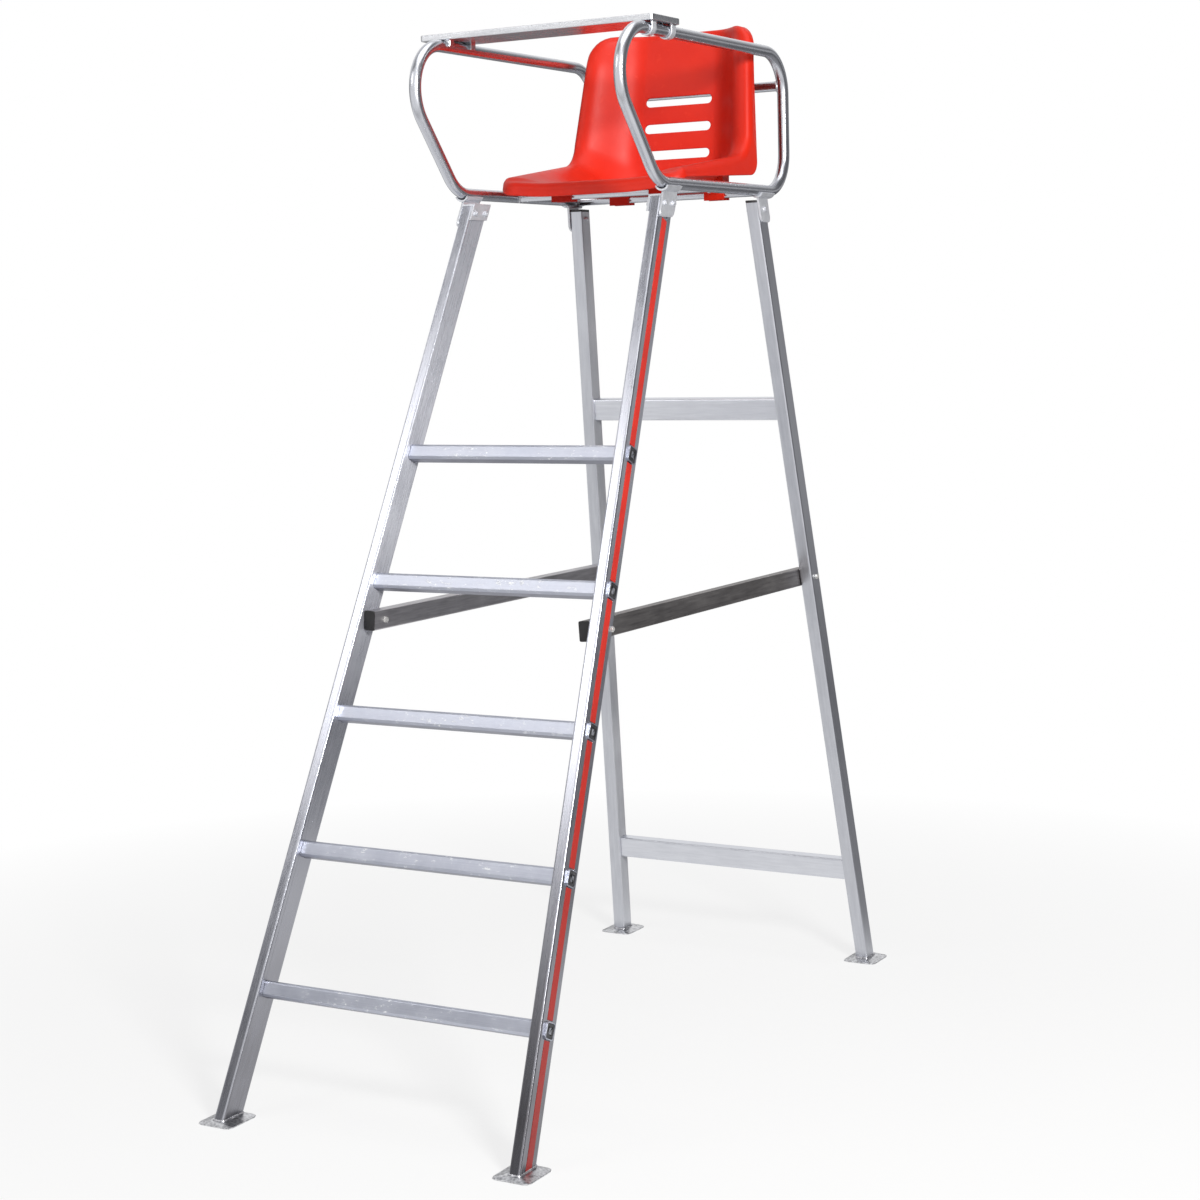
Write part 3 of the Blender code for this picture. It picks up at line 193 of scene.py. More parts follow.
def studio_floor():
    floor = Finish(bpy.data.materials.new("studio_floor"))
    place = floor.place()
    paint = floor.mix(floor.grain(place, 40.0, 4.0), FLOOR_PALE, FLOOR_SPECK)
    matt = floor.node("ShaderNodeBsdfDiffuse", {}, {0: paint})
    across, back = floor.along(place, ACROSS), floor.along(place, BACK)
    from_middle = across * across + back * back
    seen = floor.node("ShaderNodeLightPath", {}, {}, out=0)
    behind_chair = (across * 0.3 + back).within(0.8, 1.4) * BEHIND_SHADE
    before_chair = back.within(-2.6, -2.1) * (1 - back.within(-1.6, -1.1)) * BEFORE_SHADE
    far_off = (across * 0.5 + back).within(2.0, 5.0)
    shaded = far_off.larger(behind_chair).larger(before_chair) * (1 - seen)
    glow = floor.node("ShaderNodeEmission", {}, {0: floor.mix(shaded, WHITE, ROOM_GREY), 1: 1.0})
    far = from_middle.within(FLOOR_NEAR**2, FLOOR_FAR**2)
    share = seen_or_mirrored(floor) * (far * (1 - FLOOR_GLOW) + FLOOR_GLOW)
    finish = floor.surface(floor.node("ShaderNodeMixShader", {}, {0: share, 1: matt, 2: glow}))
    mesh = bpy.data.meshes.new("studio_floor")
    quarters = (-1, -1), (1, -1), (1, 1), (-1, 1)
    corners = [(x * FLOOR_REACH, y * FLOOR_REACH, FLOOR_LEVEL) for x, y in quarters]
    mesh.from_pydata(corners, [], [(0, 1, 2, 3)])
    mesh.materials.append(finish)
    made = bpy.data.objects.new("studio_floor", mesh)
    bpy.context.collection.objects.link(made)


def softbox(name, place, aim, size, power, tint, lean):
    """A soft lamp that faces a point, turned on its own axis by lean degrees."""
    lamp = bpy.data.lights.new(name, "AREA")
    lamp.shape = "RECTANGLE"
    lamp.size, lamp.size_y = size
    lamp.energy = power
    lamp.color = tint
    made = bpy.data.objects.new(name, lamp)
    bpy.context.collection.objects.link(made)
    made.location = place
    made.rotation_mode = "QUATERNION"
    facing = (Vector(aim) - Vector(place)).to_track_quat("-Z", "Y")
    made.rotation_quaternion = facing @ Quaternion(UP, math.radians(lean))
    made.visible_camera = False


def studio_camera():
    turn, tip = CAMERA_YAW, CAMERA_PITCH
    ahead = Vector((-math.sin(turn) * math.cos(tip), math.cos(turn) * math.cos(tip), math.sin(tip)))
    right = ahead.cross(Vector(UP)).normalized()
    up = right.cross(ahead)
    level = math.cos(CAMERA_ROLL), math.sin(CAMERA_ROLL)
    across = right * level[0] + up * level[1]
    upward = up * level[0] - right * level[1]
    lens = bpy.data.cameras.new("studio_camera")
    lens.sensor_width = SENSOR
    lens.lens = FOCAL_PIXELS / IMAGE_SIZE * SENSOR
    lens.shift_x = -(MIDDLE_ACROSS / IMAGE_SIZE - 0.5)
    lens.shift_y = MIDDLE_DOWN / IMAGE_SIZE - 0.5
    made = bpy.data.objects.new("studio_camera", lens)
    bpy.context.collection.objects.link(made)
    placed = Matrix((across, upward, -ahead)).transposed().to_4x4()
    placed.translation = CAMERA_PLACE
    made.matrix_world = placed
    bpy.context.scene.camera = made


bpy.context.scene.view_settings.view_transform = "Standard"
studio_walls()
studio_floor()
studio_camera()
for name, lamp in LAMPS.items():
    softbox(name, **lamp)

# Ladder stiles: two extruded aluminium box sections, 56 by 24 mm, leaning back and towards each other. They
# are left as drawn, with die lines along them and a pale film inside, darkened towards the ground with a
# painted shade, and each has a shallow groove in its outer face for a red strip.
SAME_SPOT = 2e-5
FLAT_ANGLE = math.radians(0.6)       # flatter than this is one face
CORNER_ANGLE = math.radians(12)      # sharper than this is an edge to break
STILE_EDGE, STILE_SHORTEST = 0.0007, 0.02
STILE_ROUGH = 0.28
STILE_LIGHT = shade(216, 218, 226)
STILE_DULL = shade(184, 186, 196)
RUBBED_BRIGHT = (0.86, 0.87, 0.89, 1.0)
# Painted shade: the stiles darken towards the ground, by these shares on the front, the inner side and
# elsewhere.
GROUND_PAINTED_SHADE = shade(104, 102, 106)
PAINTED_SHADE_HEIGHTS = (0.10, 0.72)
STILE_PAINTED_SHADE = {"left": (0.42, 0.70, 0.49), "right": (0.92, 0.70, 0.80)}
STILE_FILM = {"most": 0.9, "rise": (0.72, 1.10), "fade": (1.30, 1.65), "lost": 0.6}
STILE_LEAN = {"left": (0.0597, 0.4194, 0.9058), "right": (-0.0597, 0.4194, 0.9058)}


def broken_edges(node, edge, shortest=0.0):
    """The solid's own shape, its edges over a length broken as deburring leaves them."""
    bm = bmesh.new()
    bm.from_mesh(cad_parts[node].data)
    bmesh.ops.remove_doubles(bm, verts=bm.verts, dist=SAME_SPOT)
    bmesh.ops.dissolve_limit(bm, angle_limit=FLAT_ANGLE, verts=bm.verts, edges=bm.edges)
    corners = [
        line for line in bm.edges
        if len(line.link_faces) == 2 and line.calc_face_angle() > CORNER_ANGLE
        and line.calc_length() > shortest
    ]
    bmesh.ops.bevel(bm, geom=corners, offset=edge, segments=2, profile=0.5, affect="EDGES",
                    clamp_overlap=shortest == 0.0)
    bmesh.ops.dissolve_degenerate(bm, dist=SAME_SPOT, edges=bm.edges)
    return bm


def piece(name, bm, finish, body, slot, *nodes, sharp=38.0):
    """Puts a finished piece in the place of its solids, on the body that carries it."""
    mesh = bpy.data.meshes.new(name)
    bm.to_mesh(mesh)
    bm.free()
    mesh.materials.append(finish)
    mesh.shade_smooth()
    mesh.set_sharp_from_angle(angle=math.radians(sharp))
    made = bpy.data.objects.new(name, mesh)
    bpy.context.collection.objects.link(made)
    flats = made.modifiers.new("flats", "WEIGHTED_NORMAL")
    flats.keep_sharp = True
    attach(made, body)
    if nodes:
        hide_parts(*nodes)
    return made


def drawn_metal(name, axis, light, dull, roughness, marks=0.5, low_painted_shade=None, film=None):
    """Drawn or extruded aluminium: fine lines along the length, cloudy patches and rubbed marks.

    A painted shade darkens it towards the ground, with its share on the front, on the inner side and
    elsewhere. A pale film on the inner side rises and fades between heights.
    """
    finish = Finish(bpy.data.materials.new(name))
    where = finish.place()
    axis = Vector(axis).normalized()
    side = axis.orthogonal().normalized()
    front = axis.cross(side)
    length, across, deep = [finish.along(where, tuple(way)) for way in (axis, side, front)]

    def drawn_out(lengthwise, crosswise):
        sockets = {0: length * lengthwise, 1: across * crosswise, 2: deep * crosswise}
        return finish.node("ShaderNodeCombineXYZ", {}, sockets)

    lines = finish.grain(drawn_out(3.0, 900.0), 1.0, 3.0, 0.65)
    streaks = finish.grain(drawn_out(14.0, 170.0), 1.0, 3.0, 0.6)
    scratches = finish.grain(drawn_out(60.0, 420.0), 1.0, 2.0, 0.5)
    clouds = finish.grain(where, 9.0, 4.0, 0.6)
    rubbed = scratches.within(0.66, 0.74) * clouds.within(0.46, 0.62) * marks
    tone = finish.mix((lines * 0.4 + streaks * 0.7 + clouds * 0.5 - 0.3).within(0.2, 0.8), dull, light)
    colour, metallic = finish.mix(rubbed, tone, RUBBED_BRIGHT), 1.0
    height = finish.along(where, UP)
    facing = finish.node("ShaderNodeTexCoord", {}, {}, out=1)
    inside = (finish.along(facing, ACROSS) * math.copysign(1.0, axis.x)).within(0.5, 0.8)
    # Painted shade: the colour darkens towards the ground.
    if low_painted_shade:
        on_front, on_inside, elsewhere = low_painted_shade
        ahead = finish.along(facing, AHEAD).within(0.5, 0.8)
        painted_shade_share = ahead * (on_front - elsewhere) + inside * (on_inside - elsewhere) + elsewhere
        near_ground = 1 - height.within(*PAINTED_SHADE_HEIGHTS)
        painted_shade_amount = near_ground * painted_shade_share * (clouds * 0.5 + streaks * 0.5 + 0.5)
        colour = finish.mix(painted_shade_amount, colour, GROUND_PAINTED_SHADE)
    if film:
        up_the_leg = height.within(*film["rise"]) * (1 - height.within(*film["fade"]) * film["lost"])
        metallic = 1 - inside * up_the_leg * (clouds * 0.4 + 0.6) * film["most"]
    bump = finish.relief(lines * 0.6 + streaks * 0.5 + rubbed * 0.6, 0.24)
    rough = lines * 0.08 + streaks * 0.10 + clouds * 0.12 + rubbed * 0.12 + (roughness - 0.15)
    return finish.coat(colour, rough, bump, Metallic=metallic)


for hand, lean in STILE_LEAN.items():
    metal = drawn_metal(f"stile_aluminium_{hand}", lean, STILE_LIGHT, STILE_DULL, STILE_ROUGH,
                        low_painted_shade=STILE_PAINTED_SHADE[hand], film=STILE_FILM)
    node = f"ladder_stile_{hand}"
    stile = broken_edges(node, STILE_EDGE, STILE_SHORTEST)
    piece(f"stile_{hand}", stile, metal, "frame", "stile_aluminium", node)

# Red strips: flat plastic extrusion, 20 mm wide, pushed into the stiles' grooves in lengths cut between the
# rung ends. The colour has dulled in patches, it is darkened near the ground with a painted shade, and the
# edges are softened by handling.
STRIPS = range(1, 7)       # from the foot up
STRIP_EDGE = 0.00025
STRIP_RED = shade(212, 44, 28)
STRIP_DULL = shade(184, 36, 26)
# Painted shade for the strips near the ground.
STRIP_PAINTED_SHADE = shade(126, 26, 22)
STRIP_GRIT = shade(120, 36, 30)
STRIP_FOOT = 0.0095        # height at which the lowest lengths end, just over the feet
STRIP_LOW_END = 0.1        # below this a point belongs to the lowest end


def strip_plastic():
    finish = Finish(bpy.data.materials.new("red_strip"))
    where = finish.place()
    clouds = finish.grain(where, 14.0, 4.0, 0.6)
    grit = finish.grain(where, 700.0, 2.0)
    tone = finish.mix(clouds.within(0.3, 0.7), STRIP_DULL, STRIP_RED)
    # Painted shade: the red darkens towards the ground.
    near_ground = 1 - finish.along(where, UP).within(0.05, 1.0)
    low_painted_shade = finish.mix(near_ground * (clouds * 0.4 + 0.6), tone, STRIP_PAINTED_SHADE)
    colour = finish.mix(grit.within(0.68, 0.78) * 0.4, low_painted_shade, STRIP_GRIT)
    return finish.coat(colour, clouds * 0.2 + grit * 0.1 + 0.3, finish.relief(grit, 0.15, 0.0002))


strip_finish = strip_plastic()
for hand in STILE_LEAN:
    for number in STRIPS:
        node = f"stile_strip_{hand}_{number}"
        strip = broken_edges(node, STRIP_EDGE)
        if number == STRIPS[0]:
            lean = Vector(STILE_LEAN[hand])
            for spot in strip.verts:
                if spot.co.z < STRIP_LOW_END:
                    spot.co += lean * (STRIP_FOOT - spot.co.z) / lean.z
        piece(f"red_strip_{hand}_{number}", strip, strip_finish, "frame", "red_strip", node)

# Rungs: drawn aluminium tube, 30 by 32 mm, passed through both stiles and expanded in place, so that its ends
# stand out a little. Shoes have rubbed the top and front bright in the middle of each tread.
RUNGS = range(1, 6)        # from the foot up
RUNG_EDGE, RUNG_SHORTEST = 0.0007, 0.02
RUNG_PROUD, RUNG_END = 0.0026, 0.002    # how far the ends stand out, and the length that is moved
RUNG_LIGHT = shade(208, 211, 221)
RUNG_DULL = shade(174, 178, 192)
# Painted shade on the rungs' faces that turn down.
RUNG_UNDERSIDE_PAINTED_SHADE = shade(112, 113, 126)
RUNG_SCUFFED = (0.93, 0.94, 0.95, 1.0)


def trodden_metal():
    finish = Finish(bpy.data.materials.new("rung_aluminium"))
    where = finish.place()
    lines = finish.grain(finish.stretched(where, (5.0, 800.0, 800.0)), 1.0, 3.0, 0.65)
    clouds = finish.grain(where, 16.0, 4.0, 0.6)
    smears = finish.grain(finish.stretched(where, (0.45, 1.0, 1.0)), 130.0, 6.0, 0.74)
    scuffs = smears.within(0.57, 0.64) * clouds.within(0.42, 0.56)
    middle = finish.along(where, ACROSS)
    trodden = 1 - (middle * middle * 14.0).within(0.2, 1.0)
    worn = scuffs * (trodden * 0.8 + 0.2)
    tone = finish.mix((lines * 0.5 + clouds * 0.7 - 0.1).within(0.2, 0.8), RUNG_DULL, RUNG_LIGHT)
    facing = finish.node("ShaderNodeTexCoord", {}, {}, out=1)
    # Faces turned down are darkened: a painted shade under the rung.
    underneath = 1 - finish.along(facing, UP).within(-0.8, -0.3)
    underside_painted_shade = finish.mix(underneath * (clouds * 0.5 + 0.5), tone, RUNG_UNDERSIDE_PAINTED_SHADE)
    colour = finish.mix(worn * (1 - underneath), underside_painted_shade, RUNG_SCUFFED)
    rough = lines * 0.08 + clouds * 0.12 + worn * 0.15 + 0.30
    return finish.coat(colour, rough, finish.relief(lines * 0.6 + worn, 0.25), Metallic=1.0)


rung_finish = trodden_metal()
for number in RUNGS:
    node = f"rung_{number}"
    tread = broken_edges(node, RUNG_EDGE, RUNG_SHORTEST)
    half_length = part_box(node)[1][0]
    for spot in tread.verts:
        if abs(spot.co.x) > half_length - RUNG_END:
            spot.co.x += math.copysign(RUNG_PROUD, spot.co.x)
    piece(f"tread_{number}", tread, rung_finish, "frame", "rung_aluminium", node)

# Plugs and caps: black moulded polyethylene pressed into the ends of the rungs, the brace tubes and the rear
# legs, with a bevelled face and a faint moulding grain.
PLUG_EDGE = 0.0004
PLUG_BLACK = shade(34, 34, 37)
PLUG_RUBBED = shade(70, 70, 74)
BRACE_PLUG_BLACK, BRACE_PLUG_RUBBED = shade(10, 10, 12), shade(30, 30, 33)
# Painted highlight on each rung plug's boss: a grey far lighter than the black.
PLUG_BOSS_PAINTED_HIGHLIGHT = shade(104, 106, 113)
PLUG_BOSS_PAINTED_GLINT = shade(158, 160, 168)
PLUG_FIT = 0.81            # the head's size against the rung's, so that it sits inside the tube's end
PLUG_RIM, PLUG_RECESS, PLUG_PANEL, PLUG_BOSS = 0.0036, 0.0012, 0.0034, 0.0007
PLUG_SQUARE, PLUG_FLATNESS = 0.99, 1e-4    # how square and how flat the head's end is


def black_moulding(name, fresh, rubbed):
    finish = Finish(bpy.data.materials.new(name))
    where = finish.place()
    grit = finish.grain(where, 1200.0, 2.0)
    clouds = finish.grain(where, 60.0, 4.0, 0.6)
    colour = finish.mix(clouds.within(0.40, 0.72), fresh, rubbed)
    return finish.coat(colour, clouds * 0.25 + grit * 0.1 + 0.22, finish.relief(grit, 0.3, 0.0002))


def fitted_head(bm, low, high):
    """Draws the plug in until its head lies inside the end of the tube."""
    for spot in bm.verts:
        for axis in (1, 2):
            middle = (low[axis] + high[axis]) / 2
            spot.co[axis] = middle + (spot.co[axis] - middle) * PLUG_FIT
    return bm


def framed_face(bm, outward_x):
    """Sinks a panel with a low boss into the plug's outer face, and gives the boss a painted highlight."""
    end = max(spot.co.x * outward_x for spot in bm.verts)
    outer = [face for face in bm.faces
             if face.normal.x * outward_x > PLUG_SQUARE
             and face.calc_center_median().x * outward_x > end - PLUG_FLATNESS]
    bmesh.ops.inset_region(bm, faces=outer, thickness=PLUG_RIM, depth=-PLUG_RECESS, use_even_offset=True)
    bmesh.ops.inset_region(bm, faces=outer, thickness=PLUG_PANEL, depth=PLUG_BOSS, use_even_offset=True)
    for face in outer:
        face.material_index = 1
    return bm


plug_finish = black_moulding("black_plastic", PLUG_BLACK, PLUG_RUBBED)
# The second finish of the rung plugs paints a highlight on the boss.
boss_highlight_finish = black_moulding("boss_painted_highlight_plastic", PLUG_BOSS_PAINTED_HIGHLIGHT, PLUG_BOSS_PAINTED_GLINT)
brace_plug_finish = black_moulding("black_brace_plastic", BRACE_PLUG_BLACK, BRACE_PLUG_RUBBED)
for hand, outward_x in (("left", -1), ("right", 1)):
    for number in RUNGS:
        node = f"rung_plug_{hand}_{number}"
        plug = framed_face(fitted_head(broken_edges(node, PLUG_EDGE), *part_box(node)), outward_x)
        made = piece(f"black_{node}", plug, plug_finish, "frame", "black_plastic", node)
        made.data.materials.append(boss_highlight_finish)
    for node, finish in ((f"brace_plug_{hand}", brace_plug_finish), (f"rear_leg_cap_{hand}", plug_finish)):
        piece(f"black_{node}", broken_edges(node, PLUG_EDGE), finish, "frame", "black_plastic", node)

# Rear legs and crossbars: plain drawn aluminium box tube, 40 by 30 and 50 by 25 mm, the crossbars painted
# paler than the ladder, a painted light.
# The crossbars are cut to the splay of the legs and welded between them.
TUBE_EDGE, TUBE_SHORTEST, CROSSBAR_SHORTEST = 0.0006, 0.02, 0.01
TUBE_ROUGH, TUBE_MARKS = 0.34, 0.3
TUBE_LIGHT = shade(208, 210, 216)
TUBE_DULL = shade(184, 186, 193)
# Painted light: the crossbars' tones are paler than the legs' for the brighter light at the back.
CROSSBAR_LIGHT_PAINTED_PALER = shade(226, 228, 234)
CROSSBAR_DULL_PAINTED_PALER = shade(204, 206, 213)
LEG_FILM = {"most": 0.75, "rise": (0.0, 0.1), "fade": (0.90, 1.20), "lost": 0.45}
LEG_LEAN = {"left": (0.0577, -0.1680, 0.9841), "right": (-0.0577, -0.1680, 0.9841)}

for hand, lean in LEG_LEAN.items():
    metal = drawn_metal(f"leg_aluminium_{hand}", lean, TUBE_LIGHT, TUBE_DULL, TUBE_ROUGH, TUBE_MARKS,
                        film=LEG_FILM)
    node = f"rear_leg_{hand}"
    piece(f"leg_{hand}", broken_edges(node, TUBE_EDGE, TUBE_SHORTEST), metal, "frame", "tube_aluminium", node)
crossbar_finish = drawn_metal("crossbar_aluminium", ACROSS, CROSSBAR_LIGHT_PAINTED_PALER, CROSSBAR_DULL_PAINTED_PALER, TUBE_ROUGH,
                              TUBE_MARKS)
for level in ("lower", "upper"):
    node = f"rear_crossbar_{level}"
    bar = broken_edges(node, TUBE_EDGE, CROSSBAR_SHORTEST)
    piece(f"crossbar_{level}", bar, crossbar_finish, "frame", "tube_aluminium", node)

# Side braces: drawn aluminium box tube, 40 by 25 mm, bolted flat on the inner faces of a stile and a rear
# leg, duller than the legs, the right one darker still with a painted shade, with a zinc-plated bolt, washer
# and nut at each end and a black plug in the rear end too.
# The right brace's tones are far darker than the left's: a painted shade on the same tube.
BRACE_TONES_WITH_PAINTED_SHADE = {
    "left": (shade(216, 214, 217), shade(156, 154, 158)),
    "right": (shade(172, 168, 166), shade(96, 92, 93)),
}
BRACE_ROUGH, BRACE_MARKS = 0.36, 0.25
END_PLUG_HEAD, END_PLUG_BEVEL = 0.0028, 0.0009
CUT_DEPTH = 0.0015         # a cut end may lie this far out of square
BOLT_EDGE = 0.0003
ZINC_LIGHT = shade(226, 226, 224)
ZINC_DULL = shade(184, 184, 182)


def zinc_plate(name, light, dull, roughness, spangle=0.5, metallic=1.0):
    """Zinc on steel: patches of crystal and dull spots, less metallic where it has gone chalky."""
    finish = Finish(bpy.data.materials.new(name))
    where = finish.place()
    crystals = finish.node("ShaderNodeTexVoronoi", {}, {"Vector": where, "Scale": 160.0})
    clouds = finish.grain(where, 45.0, 4.0, 0.6)
    fine = finish.grain(where, 900.0, 2.0)
    colour = finish.mix((crystals * spangle + clouds * 0.6).within(0.2, 0.75), dull, light)
    rough = crystals * (spangle * 0.24) + clouds * 0.2 + (roughness - 0.12)
    return finish.coat(colour, rough, finish.relief(fine + clouds, spangle * 0.4), Metallic=metallic)


def end_corners(node, way):
    """Corners of the outer line round a tube's cut end that faces this way."""
    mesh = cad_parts[node].data
    way = Vector(way)
    reach = max(spot.co.dot(way) for spot in mesh.vertices)
    points = [spot.co.copy() for spot in mesh.vertices if spot.co.dot(way) > reach - CUT_DEPTH]
    side = way.orthogonal().normalized()
    up = way.cross(side)
    flat = [Vector((point.dot(side), point.dot(up))) for point in points]
    ring = [points[k] for k in convex_hull_2d(flat)]
    return [spot for spot, before in zip(ring, ring[-1:] + ring[:-1]) if (spot - before).length > SAME_SPOT]


def loft(bm, rings, round_again=False):
    """Quads between neighbouring rings of equally many points."""
    following = rings[1:] + rings[:1] if round_again else rings[1:]
    for first, second in zip(rings, following):
        for index in range(len(first)):
            after = (index + 1) % len(first)
            bm.faces.new((first[index], first[after], second[after], second[index]))


def capped(bm, rings):
    """A bar through the rings, closed at both ends."""
    loft(bm, rings)
    bm.faces.new(rings[0])
    bm.faces.new(rings[-1])


def outward(bm):
    bmesh.ops.recalc_face_normals(bm, faces=bm.faces)
    return bm


def tube_plug(node, way):
    """A plug's head over a tube's cut end: straight sides and a bevelled face."""
    bm = bmesh.new()
    corners = end_corners(node, way)
    middle = sum(corners, Vector()) / len(corners)
    rings = []
    steps = ((0.0, 0.0), (END_PLUG_HEAD - END_PLUG_BEVEL, 0.0), (END_PLUG_HEAD, END_PLUG_BEVEL))
    for reach, shrink in steps:
        size = 1 - shrink / (corners[0] - middle).length
        ahead = Vector(way) * reach
        rings.append([bm.verts.new(middle + (corner - middle) * size + ahead) for corner in corners])
    capped(bm, rings)
    return outward(bm)


bolt_finish = zinc_plate("zinc_bolt", ZINC_LIGHT, ZINC_DULL, 0.36, 0.3, 0.5)
for hand in STILE_LEAN:
    node = f"side_brace_{hand}"
    metal = drawn_metal(f"brace_aluminium_{hand}", BACK, *BRACE_TONES_WITH_PAINTED_SHADE[hand], BRACE_ROUGH, BRACE_MARKS)
    brace = broken_edges(node, TUBE_EDGE, TUBE_SHORTEST)
    piece(f"brace_{hand}", brace, metal, "frame", "tube_aluminium", node)
    piece(f"black_brace_end_{hand}", tube_plug(node, BACK), brace_plug_finish, "frame", "black_plastic")
    for end in ("front", "rear"):
        node = f"brace_bolt_{end}_{hand}"
        piece(f"bolt_{end}_{hand}", broken_edges(node, BOLT_EDGE), bolt_finish, "frame", "bolt_steel", node)

# Feet: four plates pressed from 2.5 mm steel sheet, raised in the middle where the leg stands on them, zinc
# plated, dull and soiled from the ground, with a run of weld round the end of each leg.
FOOT_EDGE = 0.0008
FOOT_LIGHT = shade(226, 227, 230)
FOOT_DULL = shade(132, 132, 136)
BEAD, BEAD_STEP, BEAD_SIDES = 0.0024, 0.0016, 8
BEAD_RIPPLE, BEAD_RIPPLE_TURN = 0.20, 1.5
BEAD_UNEVEN, BEAD_UNEVEN_SCALE = 0.25, 160
BEAD_SHARP = 80
BEAD_LIGHT = shade(222, 222, 226)
BEAD_DULL = shade(164, 164, 168)


def end_outline(node, way):
    """The outer line round a tube's cut end, as points at even steps."""
    corners = end_corners(node, way)
    line = []
    for start, end in zip(corners, corners[1:] + corners[:1]):
        steps = max(round((end - start).length / BEAD_STEP), 1)
        line += [start.lerp(end, step / steps) for step in range(steps)]
    return line


def circle(steps):
    """Angles at even steps round a circle."""
    return [math.tau * step / steps for step in range(steps)]


def bead(bm, line, up, radius):
    """A rippled bead of weld along a closed line."""
    rings = []
    for k, centre in enumerate(line):
        along = (line[(k + 1) % len(line)] - line[k - 1]).normalized()
        out = along.cross(up).normalized()
        ripple = 1 + BEAD_RIPPLE * math.sin(k * BEAD_RIPPLE_TURN)
        ripple += BEAD_UNEVEN * noise.noise(centre * BEAD_UNEVEN_SCALE)
        ways = [out * math.cos(turn) + up * math.sin(turn) for turn in circle(BEAD_SIDES)]
        rings.append([bm.verts.new(centre + way * radius * ripple) for way in ways])
    loft(bm, rings, round_again=True)


foot_finish = zinc_plate("foot_steel", FOOT_LIGHT, FOOT_DULL, 0.28)
bead_finish = zinc_plate("weld_bead", BEAD_LIGHT, BEAD_DULL, 0.34)
for row, leg in (("front", "ladder_stile"), ("rear", "rear_leg")):
    for hand in STILE_LEAN:
        node = f"foot_plate_{row}_{hand}"
        piece(f"foot_{row}_{hand}", broken_edges(node, FOOT_EDGE), foot_finish, "frame", "foot_steel", node)
        weld = bmesh.new()
        bead(weld, end_outline(f"{leg}_{hand}", -Vector(UP)), Vector(UP), BEAD)
        piece(f"weld_foot_{row}_{hand}", outward(weld), bead_finish, "frame", "foot_steel", sharp=BEAD_SHARP)

# Leg brackets: bent and welded steel, a half cup under the arm tube with a tab down the leg's outer face,
# bolted through the leg. The front ones also reach over the stile.
BRACKET_EDGE, BRACKET_SHORTEST = 0.0004, 0.003
BRACKET_LIGHT = shade(236, 238, 243)
BRACKET_DULL = shade(202, 204, 210)

bracket_finish = zinc_plate("bracket_steel", BRACKET_LIGHT, BRACKET_DULL, 0.40, 0.2, 0.6)
for row in ("front", "rear"):
    for hand in STILE_LEAN:
        node = f"leg_bracket_{row}_{hand}"
        bracket = broken_edges(node, BRACKET_EDGE, BRACKET_SHORTEST)
        piece(f"bracket_{row}_{hand}", bracket, bracket_finish, "frame", "bracket_steel", node)

# Arm loops: one length of 25 mm aluminium tube for each side, bent at four corners into a closed loop, welded
# and polished. It guards the side, carries the seat and holds the writing tray.
ARM_X = 0.240
ARM_RADIUS = 0.0125
ARM_LOW, ARM_HIGH = 1.783, 2.085
ARM_REAR, ARM_ELBOW = 0.588, -0.010
ARM_RAKE = math.radians(50.3)
ARM_BENDS = (0.0875, 0.0875, 0.095, 0.090)     # rear low, rear high, nose, elbow
ARM_SIDES, ARM_BEND_STEP = 36, math.radians(4)
ARM_LIGHT = shade(218, 220, 226)
ARM_DULL = shade(186, 188, 195)
ARM_SKIN = "tube_skin"     # on each point: length along the tube, and its place round the tube


def polished_metal(name, light, dull, roughness):
    """Buffed aluminium tube: hairlines along its length and a few dull clouds."""
    finish = Finish(bpy.data.materials.new(name))
    clouds = finish.grain(finish.place(), 13.0, 3.0, 0.5)
    skin = finish.node("ShaderNodeAttribute", {"attribute_name": ARM_SKIN}, {}, out=1)
    hair = finish.grain(finish.stretched(skin, (5.0, 7.0, 7.0)), 1.0, 4.0, 0.7)
    colour = finish.mix((clouds * 0.5 + hair * 0.7 - 0.1).within(0.2, 0.8), dull, light)
    rough = clouds * 0.08 + hair * 0.08 + (roughness - 0.08)
    return finish.coat(colour, rough, finish.relief(hair, 0.05), Metallic=1.0)


def arm_path():
    """Points of the loop's middle line in its own plane, with the tube's direction at each."""
    nose = ARM_ELBOW - (ARM_HIGH - ARM_LOW) / math.tan(ARM_RAKE)
    places = (ARM_REAR, ARM_LOW), (ARM_REAR, ARM_HIGH), (nose, ARM_HIGH), (ARM_ELBOW, ARM_LOW)
    corners = [Vector(at) for at in places]
    path = []
    for index, corner in enumerate(corners):
        arriving = (corner - corners[index - 1]).normalized()
        leaving = (corners[(index + 1) % 4] - corner).normalized()
        turn = arriving.angle_signed(leaving)
        radius = ARM_BENDS[index]
        start = corner - arriving * radius * math.tan(abs(turn) / 2)
        inward = Vector((arriving.y, -arriving.x)) * math.copysign(1, turn)
        centre = start + inward * radius
        steps = round(abs(turn) / ARM_BEND_STEP)
        for step in range(steps + 1):
            spin = Matrix.Rotation(-turn * step / steps, 2)
            path.append((centre - spin @ inward * radius, spin @ arriving))
    return path


